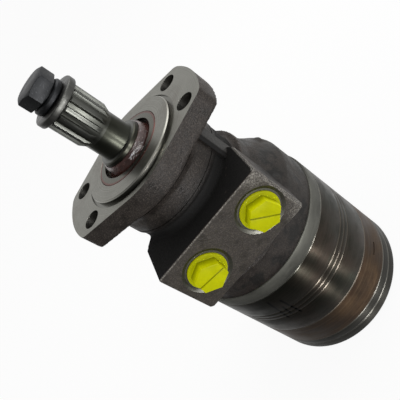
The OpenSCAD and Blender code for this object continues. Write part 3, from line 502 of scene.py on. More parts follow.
# %% Solids of revolution and prisms
def add_lathe(mesh, profile, steps=128, centre=(0, 0), axis="Z"):
    """Adds the body that a closed outline of (radius, height) points sweeps round an axis."""
    rows = []
    for r, z in profile:
        count = 1 if r == 0 else steps
        row = []
        for i in range(count):
            turn = 2 * math.pi * i / steps
            point = (r * math.cos(turn), r * math.sin(turn), z)
            if axis == "Y":
                point = (centre[0] + point[0], z, centre[1] - point[1])
            else:
                point = (centre[0] + point[0], centre[1] + point[1], z)
            row.append(mesh.verts.new([c * MM for c in point]))
        rows.append(row)
    for low, high in zip(rows, rows[1:] + rows[:1]):
        for i in range(steps):
            j = (i + 1) % steps
            ring = [low[i % len(low)], low[j % len(low)], high[j % len(high)], high[i % len(high)]]
            ring = [v for k, v in enumerate(ring) if v not in ring[:k]]
            if len(ring) > 2:
                mesh.faces.new(ring)


def add_prism(mesh, outline, low, high, place=Matrix.Identity(4)):
    """Adds a straight body with the given outline between two heights."""
    rows = []
    for z in (low, high):
        rows.append([mesh.verts.new([c * MM for c in place @ Vector((x, y, z))]) for x, y in outline])
    mesh.faces.new(list(reversed(rows[0])))
    mesh.faces.new(rows[1])
    for i in range(len(outline)):
        j = (i + 1) % len(outline)
        mesh.faces.new([rows[0][i], rows[0][j], rows[1][j], rows[1][i]])


# %% Finished objects
def as_object(mesh, name):
    """Turns finished mesh data into an object in the scene, with its faces pointing outwards."""
    bmesh.ops.recalc_face_normals(mesh, faces=mesh.faces)
    data = bpy.data.meshes.new(name)
    mesh.to_mesh(data)
    mesh.free()
    made = bpy.data.objects.new(name, data)
    bpy.context.scene.collection.objects.link(made)
    return made


def apply_modifiers(piece):
    """Turns what the modifiers show into the piece's own plain mesh."""
    shown = piece.evaluated_get(bpy.context.evaluated_depsgraph_get())
    made = bpy.data.meshes.new_from_object(shown)
    piece.modifiers.clear()
    piece.data = made


print("Bodies, prisms and finished objects can be made")

# %% Pour the casting
blank = bmesh.new()
add_prism(blank, flange_outline(), FLANGE_BACK, 4)
neck = [(0, RIB_END), (NECK_R, RIB_END), (NECK_R, -37.6), (COLLAR_R, -36), (COLLAR_R, -21), (46.9, -17),
        (46.9, -14), (0, -14)]
add_lathe(blank, neck)
round_rear = [(0, ROUND_SHOULDER), (NECK_R, ROUND_SHOULDER), (SHOULDER_R, FLARE_START), (53.5, -75),
              (57.5, -81.5), (60.6, -86), (REAR_R, -89), (REAR_R, -119), (0, -119)]
add_lathe(blank, round_rear)
root_x, root_y = 41.3, -18.4
block = [(-root_x, root_y), (BLOCK_LEFT, BLOCK_BEND), (BLOCK_LEFT, PORT_FACE - 3),
         (BLOCK_RIGHT, PORT_FACE - 3), (BLOCK_RIGHT, BLOCK_BEND), (root_x, root_y)]
add_prism(blank, block, BLOCK_END, BLOCK_FRONT)
shoulder = [(0, -SHOULDER_R)] + arc(0, 0, SHOULDER_R, -math.pi / 2, math.pi / 2, 48) + [(0, SHOULDER_R)]
add_prism(blank, shoulder, FLARE_START - 1, ROUND_SHOULDER)
for i in range(STACK_BOLTS):
    turn = math.radians(FIRST_BOLT + i * 360 / STACK_BOLTS)
    boss = (BOLT_CIRCLE * math.cos(turn), BOLT_CIRCLE * math.sin(turn))
    add_lathe(blank, [(0, -81), (6.5, -81), (8.4, -83), (8.4, -100), (0, -100)], 24, boss)
casting = as_object(blank, "housing_casting")
sand = casting.modifiers.new("sand_mould", "REMESH")
sand.mode = "VOXEL"
sand.voxel_size = 1.0 * MM
rounding = casting.modifiers.new("cast_corners", "SMOOTH")
rounding.factor = 0.5
rounding.iterations = 3
apply_modifiers(casting)
print("Casting has", len(casting.data.polygons), "faces")


# %% Turn the flange, the pilot and the bores
CLEAR_R = 90


def cut(piece, cutter, operation="DIFFERENCE"):
    """Takes one cutter's space away from the piece, or joins it on with UNION."""
    step = piece.modifiers.new("cut", "BOOLEAN")
    step.operation = operation
    step.solver = "MANIFOLD"
    step.object = cutter
    apply_modifiers(piece)
    bpy.data.objects.remove(cutter)


turning = bmesh.new()
above = [(0, 9), (CLEAR_R, 9), (CLEAR_R, 0), (PILOT_GROOVE_R, 0), (PILOT_GROOVE_R, -0.8), (PILOT_R, -0.8)]
pilot_edge = [(PILOT_R, CHAMFER_START), (CHAMFER_R, PILOT_TOP), (CARRIER_R + 0.3, PILOT_TOP)]
seal_seat = [(CARRIER_R, 2.5), (CARRIER_R, -9), (26.1, -9), (26.1, -17.5)]
below = [(BORE_R, -17.5), (BORE_R, REAR), (CLEAR_R, REAR), (CLEAR_R, REAR - 9), (0, REAR - 9)]
add_lathe(turning, above + pilot_edge + seal_seat + below, 192)
cut(casting, as_object(turning, "lathe_tool"))
print("Turned casting has", len(casting.data.polygons), "faces")

# %% Mill the port face and bore the ports
PORT_FLOOR = -47
WIDE = 60
BROKEN_EDGE_X = 43.4

milling = bmesh.new()
below_block = BLOCK_END - 2.5
run_out = [(PORT_FACE, -30), (PORT_FACE, BLOCK_END), (-62.5, below_block), (-70, below_block), (-70, -30)]
crosswise = Matrix(((0, 0, 1, 0), (1, 0, 0, 0), (0, 1, 0, 0), (0, 0, 0, 1)))
add_prism(milling, run_out, -WIDE, WIDE, crosswise)
cut(casting, as_object(milling, "face_mill"))
spot_floor = PORT_FACE + SPOT_DEPTH
for side in (-1, 1):
    boring = bmesh.new()
    bored = [(0, -80), (SPOT_R, -80), (SPOT_R, PORT_FACE + 0.05), (15.4, spot_floor), (PORT_R, spot_floor),
             (PORT_R, PORT_FLOOR), (0, PORT_FLOOR)]
    add_lathe(boring, bored, 96, (side * PORT_X, PORT_Z), "Y")
    cut(casting, as_object(boring, "port_cutter"))
edge = bmesh.new()
broken_edge = [(BROKEN_EDGE_X, -70), (BROKEN_EDGE_X, PORT_FACE), (BLOCK_RIGHT + 0.1, -58.9), (WIDE, -58.9),
               (WIDE, -70)]
add_prism(edge, broken_edge, BLOCK_END - 1, -30)
cut(casting, as_object(edge, "edge_cutter"))
knock = bmesh.new()
chip = [(BLOCK_LEFT - 1, BLOCK_END + 3), (BLOCK_LEFT + 0.6, BLOCK_END + 1.2),
        (BLOCK_LEFT + 3, BLOCK_END - 0.9), (BLOCK_LEFT - 1, BLOCK_END - 0.9)]
upright = Matrix(((1, 0, 0, 0), (0, 0, -1, 0), (0, 1, 0, 0), (0, 0, 0, 1)))
add_prism(knock, chip, 50, 70, upright)
cut(casting, as_object(knock, "knocked_corner"))
print("Milled casting has", len(casting.data.polygons), "faces")

# %% Drill the flange, cut the parting grooves and add the ribs
for x in (-HOLE_X, HOLE_X):
    for y in (-HOLE_Y, HOLE_Y):
        drilling = bmesh.new()
        add_lathe(drilling, [(0, 1), (7.2, 1), (HOLE_R, -0.3), (HOLE_R, -24), (0, -24)], 64, (x, y))
        cut(casting, as_object(drilling, "flange_drill"))
for top, bottom, reach in ((-16.3, -17.2, 46.2), (-32.9, -33.8, 44.55)):
    parting = bmesh.new()
    add_lathe(parting, [(reach, bottom), (48.2, bottom), (48.2, top), (reach, top)], 160)
    cut(casting, as_object(parting, "groove_tool"))
for side in (-1, 1):
    rib = bmesh.new()
    round_middle = RIB_END + RIB_HALF
    tongue = [(RIB_HALF, FLANGE_BACK + 1), (-RIB_HALF, FLANGE_BACK + 1)]
    tongue += arc(0, round_middle, RIB_HALF, math.pi, 2 * math.pi, 16) + [(RIB_HALF, round_middle)]
    rib_place = Matrix.Rotation(side * RIB_TURN, 4, "Z") @ crosswise
    add_prism(rib, tongue, 40.2, RIB_TOP, rib_place)
    cut(casting, as_object(rib, "neck_rib"), "UNION")
print("Machined casting has", len(casting.data.polygons), "faces")


# %% Sort cast faces from machined ones
def mesh_arrays(data):
    """Vertex places, face centres and face normals as arrays, places in millimetres."""
    points = np.empty(len(data.vertices) * 3)
    data.vertices.foreach_get("co", points)
    centres = np.empty(len(data.polygons) * 3)
    data.polygons.foreach_get("center", centres)
    normals = np.empty(len(data.polygons) * 3)
    data.polygons.foreach_get("normal", normals)
    return points.reshape(-1, 3) * 1000, centres.reshape(-1, 3) * 1000, normals.reshape(-1, 3)


points, centres, normals = mesh_arrays(casting.data)
face_x, face_y, face_z = centres.T
round_r = np.hypot(face_x, face_y)
port_r = np.hypot(np.abs(face_x) - PORT_X, face_z - PORT_Z)
hole_r = np.hypot(np.abs(face_x) - HOLE_X, np.abs(face_y) - HOLE_Y)
front = (face_z > -1.0) & (normals[:, 2] > 0.9)
pilot = (face_z > -1.0) & (round_r < PILOT_GROOVE_R + 0.3)
bore = (round_r < BORE_R + 0.14) & (face_z > REAR)
rear = (face_z < REAR + 0.05) & (normals[:, 2] < -0.9)
ports = (port_r < SPOT_R - 0.05) & (face_y < PORT_FLOOR + 0.5) & (face_y > PORT_FACE + 0.02)
spot_faces = ports & (face_y < PORT_FACE + SPOT_DEPTH + 0.1)
holes = (hole_r < HOLE_R + 0.5) & (face_z > FLANGE_BACK) & (face_z < -0.05)
machined = (front | pilot | bore | rear | ports) & ~holes
casting.data.materials.clear()
for material in (cast_iron, machined_iron, drilled_iron, oily_iron):
    casting.data.materials.append(material)
finish = np.where(holes, 2, np.where(ports & ~spot_faces, 3, machined))
casting.data.polygons.foreach_set("material_index", finish.astype(np.int32))
print("Machined share of faces:", round(float(machined.mean()), 3))

# %% [markdown]
# ### Sharp and worn edges
# A remeshed casting is shaded smooth, but where a tool has cut it, the edge stays sharp. Steep angles
# find most of these edges. A shallow one, such as the edge between the milled face and the skin, is
# found by numbering the faces: an edge between two numbers is sharp.


# %% Sharp edges
def sharpen(data, groups=None, limit_degrees=30):
    """Smooth faces everywhere, with sharp edges at steep angles and between the groups of faces."""
    mesh = bmesh.new()
    mesh.from_mesh(data)
    mesh.faces.ensure_lookup_table()
    limit = math.radians(limit_degrees)
    for face in mesh.faces:
        face.smooth = True
    for edge in mesh.edges:
        faces = edge.link_faces
        if len(faces) == 2:
            split = groups is not None and groups[faces[0].index] != groups[faces[1].index]
            edge.smooth = not (split or edge.calc_face_angle(0.0) > limit)
    mesh.to_mesh(data)
    mesh.free()


def out_from_rib(x, y):
    """How far a place lies out along the nearer rib's middle line, for arrays of x and y."""
    return x * math.cos(RIB_TURN) + np.abs(y) * math.sin(RIB_TURN)


on_mill = np.abs(face_y - PORT_FACE) < 0.02
on_rib = (np.abs(out_from_rib(face_x, face_y) - RIB_TOP) < 0.02) & (face_z > RIB_END - 0.5)
on_cone = spot_faces & (np.abs(normals[:, 1]) < 0.99)
groups = np.where(machined, 1 + front * 5, np.where(on_mill, 2, 0))
groups = np.where((groups == 0) & (face_y < PORT_FACE + 3) & (face_x > BROKEN_EDGE_X), 3, groups)
groups = np.where(on_rib, 4, groups)
groups = np.where(on_cone, 5, groups)
sharpen(casting.data, groups)
print("Sharp edges:", sum(edge.use_edge_sharp for edge in casting.data.edges))

# %% Worn edges, painted shade behind the flange and the painted rib sheen
# Painted shade blackens the corner behind the flange, but not the rib's top faces, which get a painted sheen.
at_x, at_y, at_z = points.T
near_bevel = (at_y < -58.5) & (at_x > 43.0) & (at_z < -44) & (at_z > -95)
near_front = (at_z > -46.2) & (at_z < -44) & (at_x > 44.2) & (at_y < -25)
edge_wear = np.where(near_bevel | near_front, 0.75, 0.0)
depth_in = np.clip((-26.0 - at_z) / 14.0, 0, 1) * np.clip((at_z + 58.0) / 4.0, 0, 1)
rib_top = np.abs(out_from_rib(at_x, at_y) - RIB_TOP) < 0.05
on_face = (at_y < PORT_FACE + 1.2) | ((at_z < BLOCK_FRONT - 0.6) & (at_x > 44.5))
# Painted shade deepens into the corner behind the flange, but stays off the port face and the rib's top.
painted_flange_shade = np.where(rib_top | on_face, 0.0, depth_in)
# The rib's top on the +X side gets the painted sheen.
rib_sheen_faces = rib_top & (at_z > RIB_END - 0.5) & (at_x > 0)
for name, values in (("edge_wear", edge_wear), ("painted_flange_shade", painted_flange_shade), ("rib_sheen", rib_sheen_faces)):
    layer = casting.data.attributes.new(name, "FLOAT", "POINT")
    layer.data.foreach_set("value", values.astype(np.float32))
    print(name, "covers a share of", round(float((values > 0).mean()), 3))
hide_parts("housing")
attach(casting, "housing")

# %% [markdown]
# ## Steel of the stack
# Each section of the stack is finished in its own way. The wear plate is ground flat and left matte.
# The stator is hard bearing steel, polished and oiled, so it is dark with long bright streaks: its
# tool marks run round the barrel, and such marks stretch a reflection along the axis. That stretch is
# the shader's anisotropy, with the tangent running round the axis.


# %% Tangent and painted rim highlights
# Heights are in millimetres, and each rim comes with half its width.
WEAR_SEAM = -126.1
STATOR_RIMS = ((-126.2, 0.3), (-182.8, 0.3))
STATOR_GROOVES = (-150.4, -154.95, -159.5)
MANIFOLD_RIMS = ((-183.2, 0.3), (-209.4, 0.3))
COVER_RIMS = ((-210.0, 0.3), (-217.7, 0.5))


def round_tangent(tree):
    """The direction round the Z axis at each point, for anisotropic steel."""
    return add(tree, "ShaderNodeTangent", direction_type="RADIAL", axis="Z").outputs[0]


def rim_highlights(tree, height, edges):
    """1 on a section's two rims, where a highlight is painted, each given in millimetres by its height and
    half its width.
    """
    first, last = [band(tree, height, middle * MM, half * MM, 0.3 * MM) for middle, half in edges]
    return calc(tree, "MAXIMUM", first, last)


print("The stator stands between", STATOR_RIMS[0][0], "and", STATOR_RIMS[1][0], "mm")

# %% Ground wear plate
# Grinding leaves a matte grey with only short, weak highlights.
ground_plate, tree, shader = new_material("ground_iron_plate")
unrolled, radius, height = round_the_axis(tree)
lines = turned_lines(tree, radius, height, 1.2)
cloud = noise(tree, unrolled, 0.05, 3.0, 0.6, (0.5, 1.5, 1))
flecks = noise(tree, unrolled, 1.2, 2.0, 0.6, (0.6, 1.3, 1))
metal = mix_colour(tree, ramp(tree, cloud, [(0.3, 0.0), (0.7, 1.0)]), "#393935", "#5d5d57")
metal = mix_colour(tree, ramp(tree, flecks, [(0.5, 0.0), (0.75, 0.4)]), metal, "#5a5752")
# Painted highlight: a light line along the seam with the stator.
seam_highlight = band(tree, height, WEAR_SEAM * MM, 0.3 * MM, 0.4 * MM)
metal = mix_colour(tree, calc(tree, "MULTIPLY", seam_highlight, 0.5), metal, "#a9a9a2")
fill(tree, shader, {"Base Color": metal, "Normal": bump(tree, lines, 0.03, 0.5), "Metallic": 0.9,
                    "Roughness": ramp(tree, flecks, [(0.3, 0.55), (0.7, 0.68)])})
print(ground_plate.name, "has", len(tree.nodes), "nodes")

# %% [markdown]
# ### The stator
# Besides its streaks, the stator shows three fine bright rings and, low on the barrel, a few thin dark
# scratches from handling. The rings are real grooves in the solid, and their brightness is a painted
# highlight in the base colour.
# A scratch is a straight line on the unrolled barrel, so it is drawn there, from its two ends.


# %% Scratches
SCRATCHES = [((-115.4, -133.6), (-118.1, -161.5)), ((-108.3, -138.0), (-107.6, -161.5)),
             ((-112.0, -146.0), (-113.5, -158.0))]


def scratch(tree, unrolled, start, end, half_width):
    """A thin line between two (angle in degrees, height in mm) ends on the unrolled barrel."""
    ends = [Vector((math.radians(a) * BARREL_R, z * MM)) for a, z in (start, end)]
    along = ends[1] - ends[0]
    length = along.length
    along.normalize()
    split = add(tree, "ShaderNodeSeparateXYZ", {0: unrolled})
    dx = calc(tree, "SUBTRACT", split.outputs[0], ends[0].x)
    dy = calc(tree, "SUBTRACT", split.outputs[1], ends[0].y)
    run = calc(tree, "ADD", calc(tree, "MULTIPLY", dx, along.x), calc(tree, "MULTIPLY", dy, along.y))
    off = calc(tree, "SUBTRACT", calc(tree, "MULTIPLY", dx, along.y), calc(tree, "MULTIPLY", dy, along.x))
    inside = band(tree, run, length / 2, length / 2, 1.5 * MM)
    thin = band(tree, off, 0.0, half_width, half_width)
    return calc(tree, "MULTIPLY", inside, thin)


print("Scratches to draw:", len(SCRATCHES))

# %% Stator steel
# Polishing and oil leave a dark mirror that stretches each lamp into a streak.
stator_steel, tree, shader = new_material("oiled_bearing_steel")
unrolled, radius, height = round_the_axis(tree)
lines = turned_lines(tree, radius, height, 0.9)
cloud = noise(tree, unrolled, 0.035, 3.0, 0.6, (1.0, 0.7, 1))
stain = noise(tree, unrolled, 0.09, 3.0, 0.6, (0.8, 1.2, 1))
metal = mix_colour(tree, ramp(tree, cloud, [(0.35, 0.0), (0.65, 1.0)]), "#292a24", "#352e28")
metal = mix_colour(tree, ramp(tree, stain, [(0.5, 0.0), (0.75, 0.6)]), metal, "#1c1d17")
metal = mix_colour(tree, ramp(tree, lines, [(0.5, 0.0), (0.8, 0.12)]), metal, "#67675f")
# Painted highlight: the three grooves get a brighter base.
for groove_height in STATOR_GROOVES:
    metal = mix_colour(tree, band(tree, height, groove_height * MM, 0.35 * MM, 0.3 * MM), metal, "#4f4a43")
for start, end in SCRATCHES:
    metal = mix_colour(tree, scratch(tree, unrolled, start, end, 0.55 * MM), metal, "#070706")
# Painted highlight: light lines on the stator's two rims.
metal = mix_colour(tree, calc(tree, "MULTIPLY", rim_highlights(tree, height, STATOR_RIMS), 0.2), metal, "#a5a49c")
fill(tree, shader, {"Base Color": metal, "Normal": bump(tree, lines, 0.01, 0.4), "Metallic": 1.0,
                    "Roughness": ramp(tree, stain, [(0.35, 0.28), (0.7, 0.4)]),
                    "Tangent": round_tangent(tree), "Anisotropic": 0.92, "Anisotropic Rotation": 0.25})
print(stator_steel.name, "has", len(tree.nodes), "nodes")

# %% [markdown]
# ### The manifold, the commutator ring and the end cover
# The manifold is a pile of punched plates that are brazed together in a furnace. The braze and the
# heat leave the outside a coppery brown, uneven from plate to plate. The cover and the thin ring in
# front of it are turned steel with a dark oil film.

# %% Brazed manifold
# Each plate has its own brown, and the slot that is punched in its side stays dark.
brazed_plates, tree, shader = new_material("copper_brazed_plates")
unrolled, radius, height = round_the_axis(tree)
lines = turned_lines(tree, radius, height, 0.45)
plates = turned_lines(tree, radius, height, 0.16, 1.0)
cloud = noise(tree, unrolled, 0.045, 4.0, 0.65, (1.0, 1.6, 1))
blots = noise(tree, unrolled, 0.11, 4.0, 0.7, (0.7, 1.4, 1))
metal = mix_colour(tree, ramp(tree, cloud, [(0.35, 0.0), (0.7, 1.0)]), "#2d231a", "#463728")
metal = mix_colour(tree, ramp(tree, blots, [(0.48, 0.0), (0.66, 0.7)]), metal, "#2e2118")
metal = mix_colour(tree, ramp(tree, plates, [(0.4, 0.0), (0.7, 0.45)]), metal, "#3d3025")
metal = mix_colour(tree, ramp(tree, lines, [(0.5, 0.0), (0.75, 0.1)]), metal, "#7c6a56")
metal = mix_colour(tree, ramp(tree, lines, [(0.25, 0.15), (0.42, 0.0)]), metal, "#33271e")
# Painted highlight on the manifold's two rims.
metal = mix_colour(tree, calc(tree, "MULTIPLY", rim_highlights(tree, height, MANIFOLD_RIMS), 0.15), metal, "#b8b5ac")
in_slot = calc(tree, "LESS_THAN", radius, BARREL_R - 0.4 * MM)
metal = mix_colour(tree, in_slot, metal, "#1a120c")
fill(tree, shader, {"Base Color": metal, "Normal": bump(tree, lines, 0.04, 0.5), "Metallic": 1.0,
                    "Roughness": ramp(tree, cloud, [(0.35, 0.4), (0.7, 0.54)]),
                    "Tangent": round_tangent(tree), "Anisotropic": 0.6, "Anisotropic Rotation": 0.25})
print(brazed_plates.name, "has", len(tree.nodes), "nodes")

# %% Turned cover steel
# A lathe's feed marks give it weaker, broader streaks than the stator has.
cover_steel, tree, shader = new_material("turned_cover_steel")
unrolled, radius, height = round_the_axis(tree)
lines = turned_lines(tree, radius, height, 0.8)
cloud = noise(tree, unrolled, 0.05, 3.0, 0.6)
metal = mix_colour(tree, cloud, "#242320", "#363531")
metal = mix_colour(tree, ramp(tree, lines, [(0.5, 0.0), (0.75, 0.35)]), metal, "#55544f")
# Painted highlight on the cover's two rims.
metal = mix_colour(tree, calc(tree, "MULTIPLY", rim_highlights(tree, height, COVER_RIMS), 0.2), metal, "#b8b5ac")
fill(tree, shader, {"Base Color": metal, "Normal": bump(tree, lines, 0.03, 0.5), "Metallic": 1.0,
                    "Roughness": ramp(tree, cloud, [(0.3, 0.36), (0.7, 0.48)]),
                    "Tangent": round_tangent(tree), "Anisotropic": 0.85, "Anisotropic Rotation": 0.25})
print(cover_steel.name, "has", len(tree.nodes), "nodes")

# %% [markdown]
# ## The shaft and what sits on its end
# The shaft is hardened and ground steel, bright, with painted shade in the roots of its teeth, darker
# still on the plain part below them, and a darker journal where it runs in the seal. The washer is plain
# turned steel. The bolt and its lock washer are blackened, which leaves a dark blue grey with small
# bright flecks where it is worn.

# %% Shaft steel
# Fine grinding marks run round the shaft, so its highlights stretch along it.
TOOTH_ROOT_R = 13.9 * MM
PLAIN_PART_TOP = 26.2 * MM
JOURNAL_R = 16.4 * MM

shaft_steel, tree, shader = new_material("ground_shaft_steel")
unrolled, radius, height = round_the_axis(tree)
cloud = noise(tree, unrolled, 0.08, 3.0, 0.6)
metal = mix_colour(tree, cloud, "#474844", "#5d5e5a")
# Painted shade: the tooth roots are darkened, and the plain part below the teeth more so.
root_shade = band(tree, radius, TOOTH_ROOT_R, 0.4 * MM, 0.5 * MM)
plain_part = calc(tree, "LESS_THAN", height, PLAIN_PART_TOP)
root_shade = calc(tree, "MULTIPLY", root_shade, calc(tree, "ADD", calc(tree, "MULTIPLY", plain_part, 0.5), 0.35))
metal = mix_colour(tree, root_shade, metal, "#30312a")
journal = calc(tree, "GREATER_THAN", radius, JOURNAL_R)
metal = mix_colour(tree, journal, metal, "#363630")
fill(tree, shader, {"Base Color": metal, "Roughness": ramp(tree, cloud, [(0.3, 0.34), (0.7, 0.42)]),
                    "Metallic": 1.0, "Tangent": round_tangent(tree), "Anisotropic": 0.5,
                    "Anisotropic Rotation": 0.25})
print(shaft_steel.name, "has", len(tree.nodes), "nodes")

# %% Turned washer steel
# The tool's rings show on its face as a soft sheen.
washer_steel, tree, shader = new_material("turned_washer_steel")
unrolled, radius, height = round_the_axis(tree)
lines = turned_lines(tree, radius, height, 1.0)
cloud = noise(tree, unrolled, 0.1, 3.0, 0.6)
metal = mix_colour(tree, cloud, "#3c3c3a", "#545451")
metal = mix_colour(tree, ramp(tree, lines, [(0.45, 0.0), (0.75, 0.4)]), metal, "#3c3c3a")
fill(tree, shader, {"Base Color": metal, "Normal": bump(tree, lines, 0.03, 0.5), "Metallic": 1.0,
                    "Roughness": ramp(tree, cloud, [(0.3, 0.36), (0.7, 0.48)])})
print(washer_steel.name, "has", len(tree.nodes), "nodes")

# %% Black oxide steel
# Hot blackening leaves a thin dull coat, and the steel shows through it in small flecks.
black_steel, tree, shader = new_material("black_oxide_steel")
place = add(tree, "ShaderNodeTexCoord").outputs["Object"]
cloud = noise(tree, place, 0.15, 3.0, 0.6)
flecks = noise(tree, place, 1.0, 2.0, 0.6)
metal = mix_colour(tree, cloud, "#0d0e10", "#191b1e")
metal = mix_colour(tree, ramp(tree, flecks, [(0.62, 0.0), (0.75, 0.5)]), metal, "#4d4f53")
fill(tree, shader, {"Base Color": metal, "Normal": bump(tree, flecks, 0.05, 0.4), "Metallic": 0.5,
                    "Roughness": ramp(tree, cloud, [(0.3, 0.42), (0.7, 0.56)]), "Specular IOR Level": 0.3})
print(black_steel.name, "has", len(tree.nodes), "nodes")

# %% [markdown]
# ## Rubber, plastic and bronze
# The dust seal is red-brown nitrile rubber, wet with oil, so it has a sharp gloss. The plugs are
# yellow polyethylene, moulded, waxy and slightly see-through, so light spreads a little inside. Their
# heads carry painted shade at the root, where they meet the flange, painted light towards the top, and
# painted shade along each head's slot.
# Bronze bushings and black seal rings are closed in, and show only when the motor is taken apart.

# %% Wet nitrile rubber
# The oil is the shader's coat: a thin clear layer over the rough rubber.
nitrile, tree, shader = new_material("wet_nitrile_rubber")
place = add(tree, "ShaderNodeTexCoord").outputs["Object"]
cloud = noise(tree, place, 0.35, 3.0, 0.6)
tint = mix_colour(tree, cloud, "#261512", "#58362f")
fill(tree, shader, {"Base Color": tint, "Normal": bump(tree, cloud, 1.2, 0.6), "IOR": 1.52,
                    "Roughness": ramp(tree, cloud, [(0.3, 0.12), (0.7, 0.28)]),
                    "Coat Weight": 0.6, "Coat Roughness": 0.05})
print(nitrile.name, "has", len(tree.nodes), "nodes")

# %% Yellow polyethylene
# Moulding leaves a soft waxy gloss with faint flow marks. Each head has painted shade at its root and is
# painted lighter towards its top.
HEAD_ROOT, HEAD_SHOULDER, SLOT_FLOOR = -61.7 * MM, -67.2 * MM, -67.8 * MM

polyethylene, tree, shader = new_material("yellow_polyethylene")
place = add(tree, "ShaderNodeTexCoord").outputs["Object"]
cloud = noise(tree, place, 0.12, 2.0, 0.5)
flow = noise(tree, place, 0.9, 2.0, 0.5)
split = add(tree, "ShaderNodeSeparateXYZ", {0: place})
along_x, along_y, along_z = [split.outputs[axis] for axis in "XYZ"]
# Painted shade at the head's root, painted light towards its top.
head_shade_to_light = add(tree, "ShaderNodeMapRange", {"Value": along_y, "From Min": HEAD_ROOT, "From Max": HEAD_SHOULDER})
tint = mix_colour(tree, head_shade_to_light.outputs[0], "#8a8c00", "#eef200")
tint = mix_colour(tree, calc(tree, "LESS_THAN", along_y, HEAD_ROOT), "#dfe300", tint)
tint = mix_colour(tree, ramp(tree, cloud, [(0.35, 0.3), (0.6, 0.0)]), tint, "#bfc300")

# %% Painted shade in the heads' slots, and the gloss of the plastic
near_top = calc(tree, "LESS_THAN", along_y, SLOT_FLOOR)
for side, slot_turn in ((1, math.radians(48)), (-1, math.radians(8))):
    from_x = calc(tree, "SUBTRACT", along_x, side * PORT_X * MM)
    from_z = calc(tree, "SUBTRACT", along_z, PORT_Z * MM)
    across = calc(tree, "ADD", calc(tree, "MULTIPLY", from_x, math.sin(slot_turn)),
                  calc(tree, "MULTIPLY", from_z, math.cos(slot_turn)))
    own_plug = calc(tree, "GREATER_THAN", calc(tree, "MULTIPLY", along_x, side), 0.0)
    # Painted shade: a darker line along each head's slot.
    slot = band(tree, across, 0.0, 0.5 * MM, 0.2 * MM)
    slot = calc(tree, "MULTIPLY", slot, calc(tree, "MULTIPLY", near_top, own_plug))
    tint = mix_colour(tree, calc(tree, "MULTIPLY", slot, 0.45), tint, "#5c5e00")
fill(tree, shader, {"Base Color": tint, "Normal": bump(tree, flow, 0.03, 0.4), "IOR": 1.51,
                    "Roughness": ramp(tree, cloud, [(0.3, 0.34), (0.7, 0.42)]), "Specular IOR Level": 0.05,
                    "Subsurface Weight": 0.15, "Subsurface Radius": (1.0, 0.9, 0.1),
                    "Subsurface Scale": 1.5 * MM})
print(polyethylene.name, "has", len(tree.nodes), "nodes")

# %% Bearing bronze
# Turned bronze for the bushings inside: warm, with fine rings.
bronze, tree, shader = new_material("bearing_bronze")
_, radius, height = round_the_axis(tree)
lines = turned_lines(tree, radius, height, 1.0)
fill(tree, shader, {"Base Color": mix_colour(tree, lines, "#8a6537", "#b8925a"),
                    "Normal": bump(tree, lines, 0.03, 0.5), "Metallic": 1.0, "Roughness": 0.35})
print(bronze.name, "has", len(tree.nodes), "nodes")

# %% Black nitrile rubber
# Moulded rubber for the seal rings inside: nearly black and half matte.
black_rubber, tree, shader = new_material("black_nitrile_rubber")
place = add(tree, "ShaderNodeTexCoord").outputs["Object"]
flecks = noise(tree, place, 0.8, 2.0, 0.6)
fill(tree, shader, {"Base Color": mix_colour(tree, flecks, "#141414", "#262524"),
                    "Normal": bump(tree, flecks, 0.05, 0.4), "Roughness": 0.5, "IOR": 1.52})
print(black_rubber.name, "has", len(tree.nodes), "nodes")

# %% [markdown]
# ## Softened edges
# No real edge is perfectly sharp: a lathe hand breaks it with a file, and a mould leaves a small
# radius. That thin rounded edge is what catches the light. A copy of the CAD mesh is merged, its flat
# faces are joined up again, and a small bevel is put on every edge over 30 degrees. The piece keeps
# its place and its size, and stands for its CAD node.


# %% Bevelled copies of CAD nodes
SHARP_DEGREES = 30


def softened(node_name, material, body, edge_mm, segments):
    """A copy of a CAD node with a small radius on its edges."""
    mesh = bmesh.new()
    mesh.from_mesh(nodes[node_name].data)
    bmesh.ops.remove_doubles(mesh, verts=mesh.verts, dist=2e-6)
    bmesh.ops.dissolve_limit(mesh, angle_limit=math.radians(0.6), verts=mesh.verts, edges=mesh.edges)
    piece = as_object(mesh, node_name + "_dressed")
    piece.data.materials.append(material)
    soften = piece.modifiers.new("broken_edges", "BEVEL")
    soften.width = edge_mm * MM
    soften.segments = segments
    soften.limit_method = "ANGLE"
    soften.angle_limit = math.radians(SHARP_DEGREES)
    soften.use_clamp_overlap = True
    apply_modifiers(piece)
    sharpen(piece.data, limit_degrees=SHARP_DEGREES + 5)
    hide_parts(node_name)
    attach(piece, body)
    return piece


dressed = [
    ("port_plug_right", polyethylene, "plug_right", "port_plug", 0.5, 3),
    ("port_plug_left", polyethylene, "plug_left", "port_plug", 0.5, 3),
    ("shaft_bolt", black_steel, "shaft", "shaft_bolt", 0.3, 2),
    ("lock_washer", black_steel, "shaft", "lock_washer", 0.25, 2),
    ("retaining_washer", washer_steel, "shaft", "retaining_washer", 0.25, 2),
    ("output_shaft", shaft_steel, "shaft", "output_shaft", 0.2, 2),
    ("end_cover", cover_steel, "housing", "end_cover", 0.15, 2),
    ("commutator_ring", cover_steel, "housing", "commutator_ring", 0.06, 2),
    ("stator", stator_steel, "housing", "stator", 0.12, 2),
    ("wear_plate", ground_plate, "housing", "wear_plate", 0.12, 2),
]
for node_name, material, body, slot, edge_mm, segments in dressed:
    piece = softened(node_name, material, body, edge_mm, segments)
    print(piece.name, len(piece.data.polygons), "faces")

# %% [markdown]
# ## Cap screws from Geometry Nodes
# Seven equal cap screws hold the stack. One screw is built from cylinders inside a node group, the hex
# socket is cut out of its head, and a copy is put on every point of a ring. The group's inputs are the
# numbers a drawing would give, so another motor with five or nine screws is one change.


